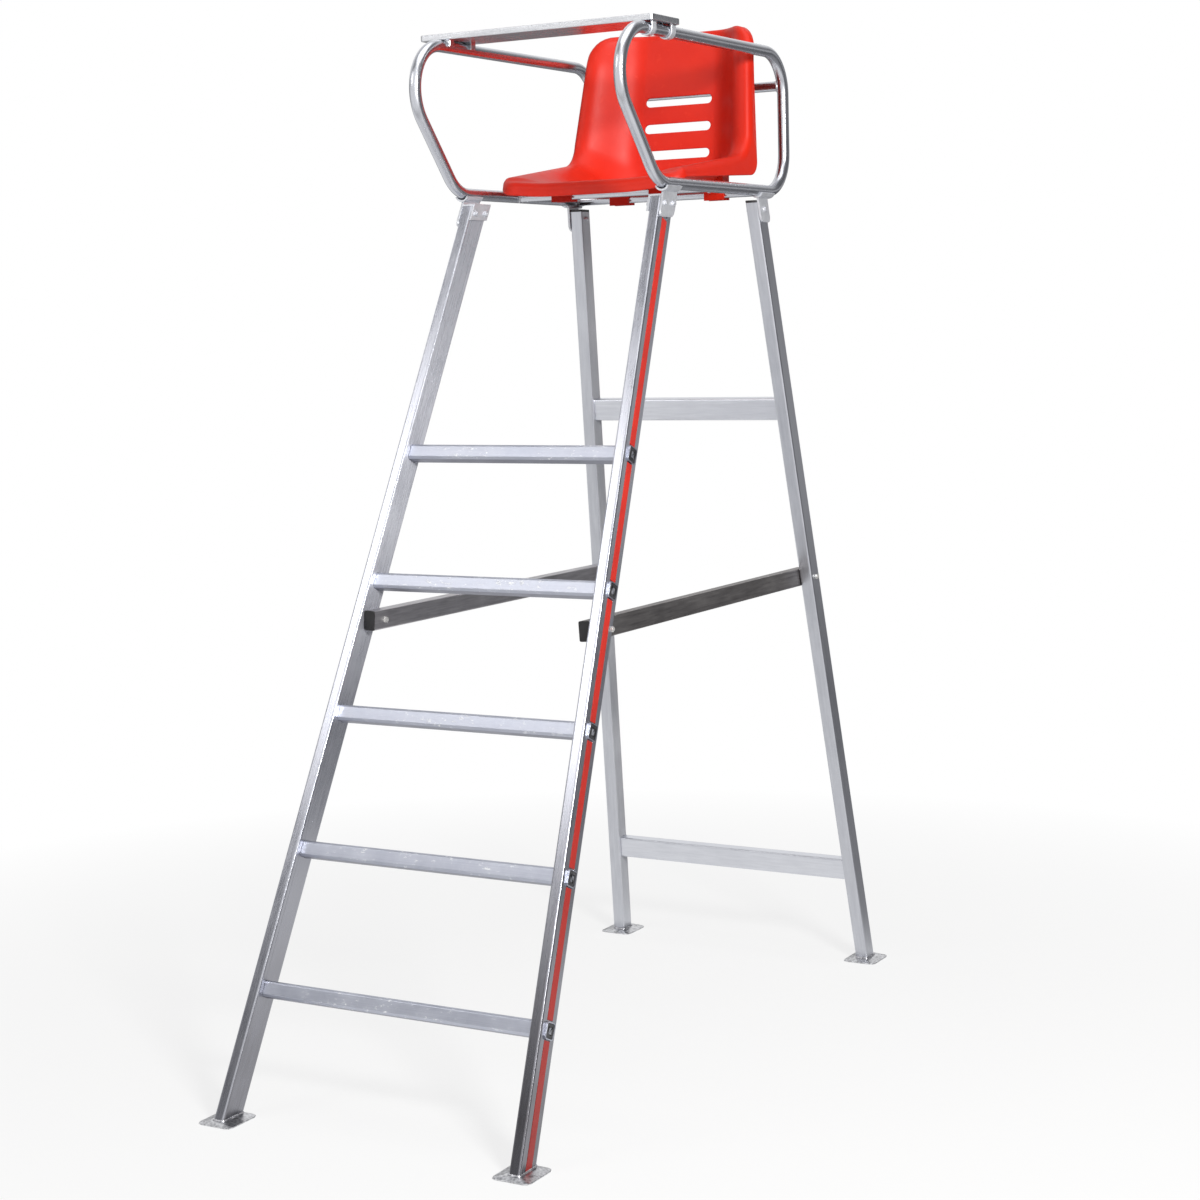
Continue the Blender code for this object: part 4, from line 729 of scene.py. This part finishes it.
arm_finish = polished_metal("polished_tube", ARM_LIGHT, ARM_DULL, 0.27)
for hand, side in (("left", -1), ("right", 1)):
    bm = bmesh.new()
    rings, skin, run, before = [], [], 0.0, None
    for centre, direction in arm_path():
        run += (centre - before).length if before else 0.0
        before = centre
        sideways = Vector((-direction.y, direction.x))
        points = []
        for angle in circle(ARM_SIDES):
            spot = centre + sideways * ARM_RADIUS * math.sin(angle)
            points.append(bm.verts.new((side * ARM_X + ARM_RADIUS * math.cos(angle), spot.x, spot.y)))
            skin += [run, math.cos(angle), math.sin(angle)]
        rings.append(points)
    loft(bm, rings, round_again=True)
    made = piece(f"arm_{hand}", outward(bm), arm_finish, "frame", "arm_aluminium", f"arm_loop_{hand}")
    made.data.attributes.new(ARM_SKIN, "FLOAT_VECTOR", "POINT").data.foreach_set("vector", skin)

# Seat rails and back rail: 22 mm aluminium tube, coped to the round of the arm tubes and welded between the
# two loops. The seat is snapped on the lower two, and the third guards the back.
RAIL_RADIUS, RAIL_WALL = 0.011, 0.002
FRONT_RAIL, REAR_RAIL, BACK_RAIL_RISE = 0.233, 0.490, 0.234
RAILS = {
    "seat_rail_front": (FRONT_RAIL, ARM_LOW),
    "seat_rail_rear": (REAR_RAIL, ARM_LOW),
    "back_rail": (ARM_REAR, ARM_LOW + BACK_RAIL_RISE),
}
COPE_GAP = 0.0004
RAIL_SIDES, RAIL_BEAD_STEPS = 32, 72
BEAD_OVERLAP = 0.25        # share of the bead's radius that lies on the rail


def rail_end(y, z):
    """Where a line along X at this place meets the right arm tube."""
    bend_y = ARM_REAR - ARM_BENDS[0]
    if y < bend_y:
        off = z - ARM_LOW
    else:
        bend_z = min(max(z, ARM_LOW + ARM_BENDS[0]), ARM_HIGH - ARM_BENDS[1])
        off = abs(math.hypot(y - bend_y, z - bend_z) - ARM_BENDS[0])
    return ARM_X - math.sqrt(max(ARM_RADIUS**2 - off**2, 0.0)) - COPE_GAP


def cross_rail(y, z):
    bm = bmesh.new()
    rings = []
    bore = RAIL_RADIUS - RAIL_WALL
    for radius, side in ((RAIL_RADIUS, -1), (RAIL_RADIUS, 1), (bore, 1), (bore, -1)):
        points = []
        for angle in circle(RAIL_SIDES):
            at = (y + radius * math.cos(angle), z + radius * math.sin(angle))
            points.append(bm.verts.new((side * rail_end(*at), *at)))
        rings.append(points)
    loft(bm, rings, round_again=True)
    return outward(bm)


def weld_beads(y, z):
    """A bead of weld round each end of a rail."""
    bm = bmesh.new()
    round_rail = [(y + RAIL_RADIUS * math.cos(turn), z + RAIL_RADIUS * math.sin(turn))
                  for turn in circle(RAIL_BEAD_STEPS)]
    for side in (-1, 1):
        line = [Vector((side * (rail_end(*at) - BEAD * BEAD_OVERLAP), *at)) for at in round_rail]
        bead(bm, line, Vector(ACROSS), BEAD)
    return outward(bm)


rail_finish = drawn_metal("rail_tube", ACROSS, ARM_LIGHT, ARM_DULL, 0.26, 0.2)
for node, (y, z) in RAILS.items():
    piece(f"tube_{node}", cross_rail(y, z), rail_finish, "frame", "arm_aluminium", node)
    piece(f"weld_{node}", weld_beads(y, z), bead_finish, "frame", "arm_aluminium", sharp=BEAD_SHARP)

# Seat: one injection-moulded polypropylene shell, 4.5 mm thick, with raised sides, a rim rolled outwards
# and back, three slots through the back, and four hooks under the pan that snap on the rails. It has a fine
# grain and a satin gloss.
SEAT_WALL, SEAT_GAP, SEAT_SIDE_GAP = 0.0045, 0.0003, 0.0015
LIP_OUT, LIP_ROUND, LIP_FLARE, LIP_DROP = 0.013, 0.018, 0.002, 0.028
LIP_TOP_ROUND, LIP_ROUND_SHARE = 0.010, 0.75
PAN = ARM_LOW + RAIL_RADIUS + SEAT_GAP + SEAT_WALL
CREST_HALF = ARM_X - ARM_RADIUS - SEAT_SIDE_GAP - LIP_OUT - LIP_FLARE
SEAT_OVERHANG, SEAT_SETBACK = 0.103, 0.028    # beyond the front rail and the rear rail
SEAT_FRONT, SEAT_FOOT = FRONT_RAIL - SEAT_OVERHANG, REAR_RAIL + SEAT_SETBACK
NOSE_RISE = 0.005
BACK_HEIGHT, BACK_RAKE = 0.340, math.radians(8.5)
SEAT_BEND = 0.075
FRONT_TAPER, TOP_TAPER = 0.003, 0.020
SEAT_FLAT, WING_START = 0.060, 1.35    # half width of the flat middle, and how late the sides rise
WING_FORWARD, WING_RISE, WING_FRONT_RISE = 0.077, 0.063, 0.020
WING_FRONT_SHARE, WING_TOP_SHARE, WING_FADE = 0.45, 0.85, 0.070
WING_LEAN, WING_BEND = math.radians(11.3), 0.062
FRONT_CORNER, TOP_CORNER = 0.028, 0.042
RIM_FRONT_DROP, RIM_BEND_DROP, RIM_BEND_BACK, RIM_TOP_BACK, RIM_BEND = 0.017, 0.0425, 0.037, 0.0135, 0.030
SLOT_LENGTH, SLOT_HEIGHT, SLOT_PITCH, SLOT_RISE = 0.166, 0.020, 0.060, 0.155
SLOT_MIDDLE = ARM_LOW + SLOT_RISE
SLOT_ZONE = 0.45           # share of the half width that holds the slots
SLOT_END_STEPS = 12
SLOT_INSIDE = 0.9          # share of the bulge within which a face lies in a slot
BRIDGE_POINTS, BRIDGE_STEP = range(-7, 8), 0.0115     # on the bridges between the slots
EDGE_BULGE, BULGE_STEPS = 0.0016, (45, 90, 135)
HOOK_OFFSET, HOOK_WIDTH, HOOK_WALL, HOOK_RISE, HOOK_MOUTH = 0.120, 0.048, 0.004, 0.040, 0.017
HOOK_STATIONS, HOOK_ROUND_STEPS, HOOK_TOP_STEPS = 6, 24, 6
HOOK_BURIED = 0.6          # share of the wall that a hook's top reaches into
PAN_ROWS, BEND_ROWS, BACK_ROWS, HALF_COLUMNS = 16, 14, 20, 22
COLUMN_CROWDING = 1.25     # columns stand closer towards the sides
LIP_STEPS, RIM_STEPS = 8, 5
SEAT_SHARP = 50
CORNER_ANGLES = (90, 78, 66, 54, 42, 30, 18, 8)
SEAT_RED = shade(214, 38, 13)
SEAT_DEEP = shade(204, 31, 10)
SEAT_SMEARED = shade(240, 84, 62)


def smooth(share):
    share = min(max(share, 0.0), 1.0)
    return share * share * (3 - 2 * share)


def eased(share):
    """As smooth, but with no sudden change of curve at either end."""
    share = min(max(share, 0.0), 1.0)
    return share**3 * (share * (share * 6 - 15) + 10)


def bent_line(start, corner, end, radius, first_shares, second_shares):
    """Two straights joined by a bend, as points with the line's direction at each."""
    first, second = (corner - start).normalized(), (end - corner).normalized()
    turn = first.angle(second)
    reach = radius * math.tan(turn / 2)
    bend_start, bend_end = corner - first * reach, corner + second * reach
    normal = Vector((-first.y, first.x))
    line = [(start.lerp(bend_start, share), first) for share in first_shares]
    for step in range(1, BEND_ROWS):
        angle = turn * step / BEND_ROWS
        along = first * math.cos(angle) + normal * math.sin(angle)
        line.append((bend_start + normal * radius + Vector((along.y, -along.x)) * radius, along))
    return line + [(bend_end.lerp(end, share), second) for share in second_shares]


def corner_turn(distance, corner):
    """Angle round a corner at a distance from the shell's end, none past it."""
    return math.asin(min(max((corner - distance) / corner, 0.0), 1.0))


def edge_shares(length, corner, steps):
    near = [corner * (1 - math.sin(math.radians(angle))) / length for angle in CORNER_ANGLES]
    start = corner / length
    return near + [start + (1 - start) * step / steps for step in range(steps + 1)]


def seat_rows():
    """The shell from front edge to top edge: middle line, rise of its sides, width, and rim."""
    back = Vector((math.tan(BACK_RAKE), 1)) * BACK_HEIGHT
    wing = Vector((math.tan(WING_LEAN), 1)) * (BACK_HEIGHT - WING_RISE)
    front, corner = Vector((SEAT_FRONT, PAN + NOSE_RISE)), Vector((SEAT_FOOT, PAN))
    crest_front = front + Vector((0, WING_FRONT_RISE - NOSE_RISE))
    crest_corner = corner + Vector((-WING_FORWARD, WING_RISE))
    reach = SEAT_BEND * math.tan((corner - front).angle(back) / 2)
    pan_length, back_length = (corner - front).length - reach, back.length - reach
    on_pan = edge_shares(pan_length, FRONT_CORNER, PAN_ROWS)
    on_back = [1 - share for share in reversed(edge_shares(back_length, TOP_CORNER, BACK_ROWS))]
    middle = bent_line(front, corner, corner + back, SEAT_BEND, on_pan, on_back)
    crest = bent_line(crest_front, crest_corner, crest_corner + wing, WING_BEND, on_pan, on_back)
    rim_corner = crest_corner + Vector((RIM_BEND_BACK, -RIM_BEND_DROP))
    rim_top = crest_corner + wing + Vector((RIM_TOP_BACK, 0))
    rim = bent_line(crest_front - Vector((0, RIM_FRONT_DROP)), rim_corner, rim_top, RIM_BEND, on_pan, on_back)
    shares = [(share, 0.0) for share in on_pan] + [(1.0, 0.0)] * (BEND_ROWS - 1)
    shares += [(1.0, share) for share in on_back]
    rows = []
    for (point, along), (edge, _), (free, _), (pan_share, back_share) in zip(middle, crest, rim, shares):
        from_front, from_top = pan_share * pan_length, (1 - back_share) * back_length
        sink = smooth(1 - from_top / WING_FADE) * (1 - WING_TOP_SHARE)
        sink += smooth(1 - from_front / FRONT_CORNER) * (1 - WING_FRONT_SHARE)
        front_turn, top_turn = corner_turn(from_front, FRONT_CORNER), corner_turn(from_top, TOP_CORNER)
        full = CREST_HALF - back_share * TOP_TAPER - (1 - pan_share) * FRONT_TAPER
        trim = FRONT_CORNER * (1 - math.cos(front_turn)) + TOP_CORNER * (1 - math.cos(top_turn))
        rows.append({"point": point, "along": along, "rise": (edge - point) * (1 - sink), "full": full,
                     "half": full - trim, "turn": top_turn - front_turn, "drop": free - edge,
                     "straight_back": back_share})
    return rows


def seat_point(row, x):
    wall = eased(max((abs(x) - SEAT_FLAT) / (row["full"] - SEAT_FLAT), 0.0) ** WING_START)
    spot = row["point"] + row["rise"] * wall
    return Vector((x, spot.x, spot.y))


def pan_height(rows, x, y):
    points = [seat_point(row, x) for row in rows]
    for first, second in zip(points, points[1:]):
        if first.y <= y <= second.y and second.y > first.y:
            return first.z + (second.z - first.z) * (y - first.y) / (second.y - first.y)
    return points[0].z


def slot_outline(grow, middle):
    """A slot with round ends, as points across the back and up it."""
    half, radius = SLOT_LENGTH / 2 - SLOT_HEIGHT / 2, SLOT_HEIGHT / 2 + grow
    points = []
    for centre, start in ((half, -90), (-half, 90)):
        for step in range(SLOT_END_STEPS + 1):
            angle = math.radians(start + 180 * step / SLOT_END_STEPS)
            points.append((centre + radius * math.cos(angle), middle + radius * math.sin(angle)))
    return points


def slotted_zone(bm, grid, rows, low, high, first, last):
    """Fills the flat part of the back between two rows and two columns, round the slots."""
    border = [grid[low][k] for k in range(first, last + 1)]
    border += [grid[j][last] for j in range(low + 1, high + 1)]
    border += [grid[high][k] for k in range(last - 1, first - 1, -1)]
    border += [grid[j][first] for j in range(high - 1, low, -1)]
    flat = [Vector((spot.co.x, spot.co.z)) for spot in border]
    loops = [list(range(len(flat)))]
    slots = [SLOT_MIDDLE + number * SLOT_PITCH for number in (-1, 0, 1)]
    for middle in slots:
        outline = slot_outline(EDGE_BULGE, middle)
        loops.append(list(range(len(flat), len(flat) + len(outline))))
        flat += [Vector(at) for at in outline]
    edges = [(loop[k], loop[(k + 1) % len(loop)]) for loop in loops for k in range(len(loop))]
    for number in (-0.5, 0.5):
        flat += [Vector((k * BRIDGE_STEP, SLOT_MIDDLE + number * SLOT_PITCH)) for k in BRIDGE_POINTS]
    spots, _, faces, sources, _, _ = delaunay_2d_cdt(flat, edges, [], 1, 1e-7)
    base, top = rows[low], rows[high]
    opening = SLOT_HEIGHT / 2 + EDGE_BULGE * SLOT_INSIDE
    made = []
    for spot, source in zip(spots, sources):
        if source and source[0] < len(border):
            made.append(border[source[0]])
            continue
        share = (spot.y - base["point"].y) / (top["point"].y - base["point"].y)
        between = {key: base[key] + (top[key] - base[key]) * share for key in ("point", "rise", "full")}
        made.append(bm.verts.new((spot.x, seat_point(between, spot.x).y, spot.y)))
    for face in faces:
        middle = sum((spots[k] for k in face), Vector((0, 0))) / len(face)
        beyond = max(abs(middle.x) - (SLOT_LENGTH - SLOT_HEIGHT) / 2, 0.0)
        inside = any(math.hypot(beyond, middle.y - z) < opening for z in slots)
        if not inside:
            bm.faces.new([made[k] for k in face])


def seat_sheet(rows):
    """The sitter's side of the shell with its rolled rim, one layer thick."""
    bm = bmesh.new()
    spread = [1 - (1 - k / HALF_COLUMNS) ** COLUMN_CROWDING for k in range(HALF_COLUMNS + 1)]
    half_shares = sorted({SLOT_ZONE, *spread})
    places = [-share for share in reversed(half_shares[1:])] + half_shares
    grid = [[bm.verts.new(seat_point(row, row["half"] * place)) for place in places] for row in rows]
    first, last = places.index(-SLOT_ZONE), places.index(SLOT_ZONE)
    low = next(j for j, row in enumerate(rows) if j and rows[j - 1]["along"] != row["along"]
               and row["along"] == rows[-1]["along"])
    top = SLOT_MIDDLE + SLOT_PITCH + SLOT_HEIGHT
    high = next(j for j, row in enumerate(rows) if row["point"].y > top)
    for j in range(len(rows) - 1):
        for k in range(len(places) - 1):
            if low <= j < high and first <= k < last:
                continue
            bm.faces.new((grid[j][k], grid[j][k + 1], grid[j + 1][k + 1], grid[j + 1][k]))
    inner = [grid[j][k] for j in range(low + 1, high) for k in range(first + 1, last)]
    bmesh.ops.delete(bm, geom=inner, context="VERTS")
    slotted_zone(bm, grid, rows, low, high, first, last)
    end, right_angle = len(places) - 1, math.pi / 2
    rim = [(grid[0][k], rows[0], 1, -right_angle) for k in range(end + 1)]
    rim += [(grid[j][end], row, 1, row["turn"]) for j, row in enumerate(rows)][1:-1]
    rim += [(grid[-1][k], rows[-1], 1, right_angle) for k in range(end, -1, -1)]
    rim += [(grid[j][0], row, -1, row["turn"]) for j, row in enumerate(rows)][-2:0:-1]
    rings = [[spot for spot, _, _, _ in rim]]
    quarter = [math.radians(90 * step / LIP_STEPS) for step in range(1, LIP_STEPS + 1)]
    rounded, free_edge = [], []
    for spot, row, side, turn in rim:
        along = row["along"]
        out = Vector((side * math.cos(turn), along.x * math.sin(turn), along.y * math.sin(turn)))
        away = Vector((0, along.y, -along.x))
        at_side = Vector((0, *row["drop"])) * math.cos(turn) ** 2
        at_end = away * LIP_DROP * math.sin(turn) ** 2
        widest = LIP_ROUND + (LIP_TOP_ROUND - LIP_ROUND) * max(math.sin(turn), 0.0)
        bend = min(widest, (at_side + at_end).length * LIP_ROUND_SHARE)
        turned = [out * LIP_OUT * math.sin(angle) + away * bend * (1 - math.cos(angle)) for angle in quarter]
        rounded.append([spot.co + shift for shift in turned])
        free_edge.append(spot.co + out * (LIP_OUT + LIP_FLARE) + at_side + at_end)
    for step in range(LIP_STEPS):
        rings.append([bm.verts.new(line[step]) for line in rounded])
    for step in range(1, RIM_STEPS + 1):
        share = step / RIM_STEPS
        rings.append([bm.verts.new(line[-1].lerp(free, share)) for line, free in zip(rounded, free_edge)])
    loft(bm, rings[::-1])
    return bm


def thickened(bm):
    """Gives the sheet its wall on the far side, and closes each free edge with a round one."""
    bm.normal_update()
    if sum(face.normal.z * face.calc_area() for face in bm.faces) < 0:
        bmesh.ops.reverse_faces(bm, faces=bm.faces)
        bm.normal_update()
    sheet = list(bm.faces)
    edges = [line for line in bm.edges if len(line.link_faces) == 1]
    far = {spot: bm.verts.new(spot.co - spot.normal * SEAT_WALL) for spot in list(bm.verts)}
    outgoing = {}
    for line in edges:
        loop = line.link_loops[0]
        start, finish = loop.vert, loop.link_loop_next.vert
        along = (finish.co - start.co).normalized()
        out = along.cross(loop.face.normal)
        for spot in (start, finish):
            outgoing[spot] = outgoing.get(spot, Vector()) + out
    bulge = {}
    for spot, out in outgoing.items():
        out.normalize()
        middle = (spot.co + far[spot].co) / 2
        half = (spot.co - far[spot].co) / 2
        arc = []
        for turn in map(math.radians, BULGE_STEPS):
            arc.append(bm.verts.new(middle + half * math.cos(turn) + out * EDGE_BULGE * math.sin(turn)))
        bulge[spot] = [spot, *arc, far[spot]]
    for face in sheet:
        bm.faces.new([far[spot] for spot in reversed(face.verts)])
    for line in edges:
        loop = line.link_loops[0]
        start, finish = loop.vert, loop.link_loop_next.vert
        first, second = bulge[start], bulge[finish]
        for step in range(len(first) - 1):
            bm.faces.new((second[step], first[step], first[step + 1], second[step + 1]))
    return bm


def seat_hook(bm, rows, x, rail):
    """A block under the pan with a keyhole for the rail, its top buried in the shell."""
    seat = RAIL_RADIUS + SEAT_GAP
    reach = seat + HOOK_WALL
    base = ARM_LOW - reach
    half_mouth = math.asin(HOOK_MOUTH / 2 / seat)
    stations = []
    for i in range(HOOK_STATIONS + 1):
        across = x + HOOK_WIDTH * (i / HOOK_STATIONS - 0.5)
        outline = [(rail - HOOK_MOUTH / 2, base)]
        for step in range(HOOK_ROUND_STEPS + 1):
            angle = -math.pi / 2 - half_mouth - (math.tau - 2 * half_mouth) * step / HOOK_ROUND_STEPS
            outline.append((rail + seat * math.cos(angle), ARM_LOW + seat * math.sin(angle)))
        outline += [(rail + HOOK_MOUTH / 2, base), (rail + reach, base)]
        for step in range(HOOK_TOP_STEPS + 1):
            y = rail + reach - 2 * reach * step / HOOK_TOP_STEPS
            top = min(pan_height(rows, across, y) - SEAT_WALL * HOOK_BURIED, ARM_LOW + HOOK_RISE)
            outline.append((y, top))
        outline.append((rail - reach, base))
        stations.append([bm.verts.new((across, *at)) for at in outline])
    capped(bm, stations)


def moulded_red():
    finish = Finish(bpy.data.materials.new("red_shell"))
    where = finish.place()
    clouds = finish.grain(where, 7.0, 4.0, 0.6)
    pores = finish.grain(where, 1500.0, 2.0, 0.6)
    smears = finish.grain(where, 38.0, 5.0, 0.65)
    tone = finish.mix(clouds.within(0.3, 0.7), SEAT_DEEP, SEAT_RED)
    colour = finish.mix(smears.within(0.62, 0.80) * 0.35, tone, SEAT_SMEARED)
    rough = smears * 0.16 + pores * 0.08 + 0.34
    return finish.coat(colour, rough, finish.relief(pores, 0.16), IOR=1.46, Specular_IOR_Level=0.36)


rows = seat_rows()
shell = thickened(seat_sheet(rows))
for x in (-HOOK_OFFSET, HOOK_OFFSET):
    for rail in (FRONT_RAIL, REAR_RAIL):
        seat_hook(shell, rows, x, rail)
piece("bucket_seat", outward(shell), moulded_red(), "frame", "red_shell", "seat_shell", sharp=SEAT_SHARP)

# Writing tray: a shallow tray folded from 2.5 mm aluminium sheet, with a raised edge all round. Cheeks under
# its left end sit over the left arm, and straps welded under its right end hold the tube that it turns on.
TURN_GAP, STRAP_GAP = 0.0005, 0.0003
TRAY_LEFT, TRAY_RIGHT = -0.292, 0.262
TRAY_Y, TRAY_DEPTH = 0.005, 0.120
TRAY_UNDER = ARM_HIGH + ARM_RADIUS + TURN_GAP
TRAY_HEIGHT, TRAY_WALL, TRAY_CORNER, TRAY_LEAST_CORNER = 0.0125, 0.0025, 0.009, 0.002
FOLD_ROUND, FOLD_STEPS, RIM_ROUND_STEPS, CORNER_STEPS = 0.0018, 4, 6, 8
STRAP_SPACING, STRAP_WIDTH, STRAP_THICKNESS, CHEEK_THICKNESS = 0.082, 0.018, 0.003, 0.004
BAR_EDGE, STRAP_STEPS, CHEEK_STEPS = 0.0006, 28, 14
STRAP_BEAD, STRAP_BEAD_STEPS, STRAP_BEAD_DROP = 0.0016, 48, 0.4
TRAY_SHARP = 60
TRAY_LIGHT = shade(228, 229, 232)
TRAY_DULL = shade(198, 200, 205)


def round_box(width, depth, corner):
    points = []
    for quarter in range(4):
        middle = (quarter + 0.5) * math.pi / 2
        centre = (math.copysign(width / 2 - corner, math.cos(middle)),
                  math.copysign(depth / 2 - corner, math.sin(middle)))
        for step in range(CORNER_STEPS + 1):
            angle = (quarter + step / CORNER_STEPS) * math.pi / 2
            points.append((centre[0] + corner * math.cos(angle), centre[1] + corner * math.sin(angle)))
    return points


def folded_tray():
    bm = bmesh.new()
    width, middle = TRAY_RIGHT - TRAY_LEFT, (TRAY_RIGHT + TRAY_LEFT) / 2
    rim, lip = TRAY_HEIGHT, TRAY_WALL / 2
    quarter = [math.radians(90 * step / FOLD_STEPS) for step in range(FOLD_STEPS + 1)]
    profile = [(FOLD_ROUND * (1 - math.sin(turn)), FOLD_ROUND * (1 - math.cos(turn))) for turn in quarter]
    for turn in [math.pi * step / RIM_ROUND_STEPS for step in range(RIM_ROUND_STEPS + 1)]:
        profile.append((lip * (1 - math.cos(turn)), rim - lip + lip * math.sin(turn)))
    for turn in quarter:
        profile.append((TRAY_WALL + FOLD_ROUND * (1 - math.cos(turn)),
                        TRAY_WALL + FOLD_ROUND * (1 - math.sin(turn))))
    rings = []
    for inset, height in profile:
        corner = max(TRAY_CORNER - inset, TRAY_LEAST_CORNER)
        outline = round_box(width - 2 * inset, TRAY_DEPTH - 2 * inset, corner)
        rings.append([bm.verts.new((middle + x, TRAY_Y + y, TRAY_UNDER + height)) for x, y in outline])
    capped(bm, rings)
    return outward(bm)


def bar_along_y(bm, outline, x, y, width):
    """An outline across the tube, carried along Y, its end edges broken."""
    rings = []
    end, inner = width / 2, width / 2 - BAR_EDGE
    for at, shrink in ((-end, BAR_EDGE), (-inner, 0.0), (inner, 0.0), (end, BAR_EDGE)):
        rings.append([bm.verts.new((x + a, y + at, ARM_HIGH + b)) for a, b in outline(shrink)])
    capped(bm, rings)


def strap_outline(shrink):
    inner = ARM_RADIUS + TURN_GAP
    outer = inner + STRAP_THICKNESS - shrink
    top = inner - STRAP_GAP
    turns = [math.pi * step / STRAP_STEPS for step in range(STRAP_STEPS + 1)]
    points = [(outer, top), (inner, top)]
    points += [(inner * math.cos(turn), -inner * math.sin(turn)) for turn in turns]
    points += [(-inner, top), (-outer, top)]
    return points + [(-outer * math.cos(turn), -outer * math.sin(turn)) for turn in turns]


def strap_end(side, y):
    """The line round a strap's end under the tray, at even steps."""
    off = side * (ARM_RADIUS + TURN_GAP + STRAP_THICKNESS / 2)
    middle = Vector((ARM_X + off, y, TRAY_UNDER - STRAP_BEAD * STRAP_BEAD_DROP))
    line = []
    for turn in circle(STRAP_BEAD_STEPS):
        along = min(max(math.sin(turn) * 0.8, -0.5), 0.5)
        line.append(middle + Vector((math.cos(turn) * STRAP_THICKNESS / 2, along * STRAP_WIDTH, 0)))
    return line


def cheek_outline(side):
    def outline(shrink):
        inner = ARM_RADIUS + TURN_GAP
        outer = inner + CHEEK_THICKNESS - shrink
        start = math.acos((inner - STRAP_GAP) / inner)
        turns = [start + (math.pi / 2 - start) * step / CHEEK_STEPS for step in range(CHEEK_STEPS + 1)]
        points = [(side * inner * math.sin(turn), inner * math.cos(turn)) for turn in turns]
        top = inner + TRAY_WALL / 2
        return points + [(side * outer, 0), (side * outer, top), (side * inner * math.sin(start), top)]
    return outline


tray_finish = drawn_metal("tray_aluminium", ACROSS, TRAY_LIGHT, TRAY_DULL, 0.26, 0.2)
piece("tray", folded_tray(), tray_finish, "tray", "tray_aluminium", "writing_tray", sharp=TRAY_SHARP)
cheeks, welds = bmesh.new(), bmesh.new()
for name, y in (("front", TRAY_Y - STRAP_SPACING / 2), ("rear", TRAY_Y + STRAP_SPACING / 2)):
    for side in (-1, 1):
        bar_along_y(cheeks, cheek_outline(side), -ARM_X, y, STRAP_WIDTH)
        bead(welds, strap_end(side, y), Vector(UP), STRAP_BEAD)
    strap = bmesh.new()
    bar_along_y(strap, strap_outline, ARM_X, y, STRAP_WIDTH)
    piece(f"strap_{name}", outward(strap), bracket_finish, "tray", "bracket_steel", f"tray_strap_{name}")
piece("tray_cheeks", outward(cheeks), tray_finish, "tray", "tray_aluminium")
piece("weld_straps", outward(welds), bead_finish, "tray", "bracket_steel", sharp=BEAD_SHARP)
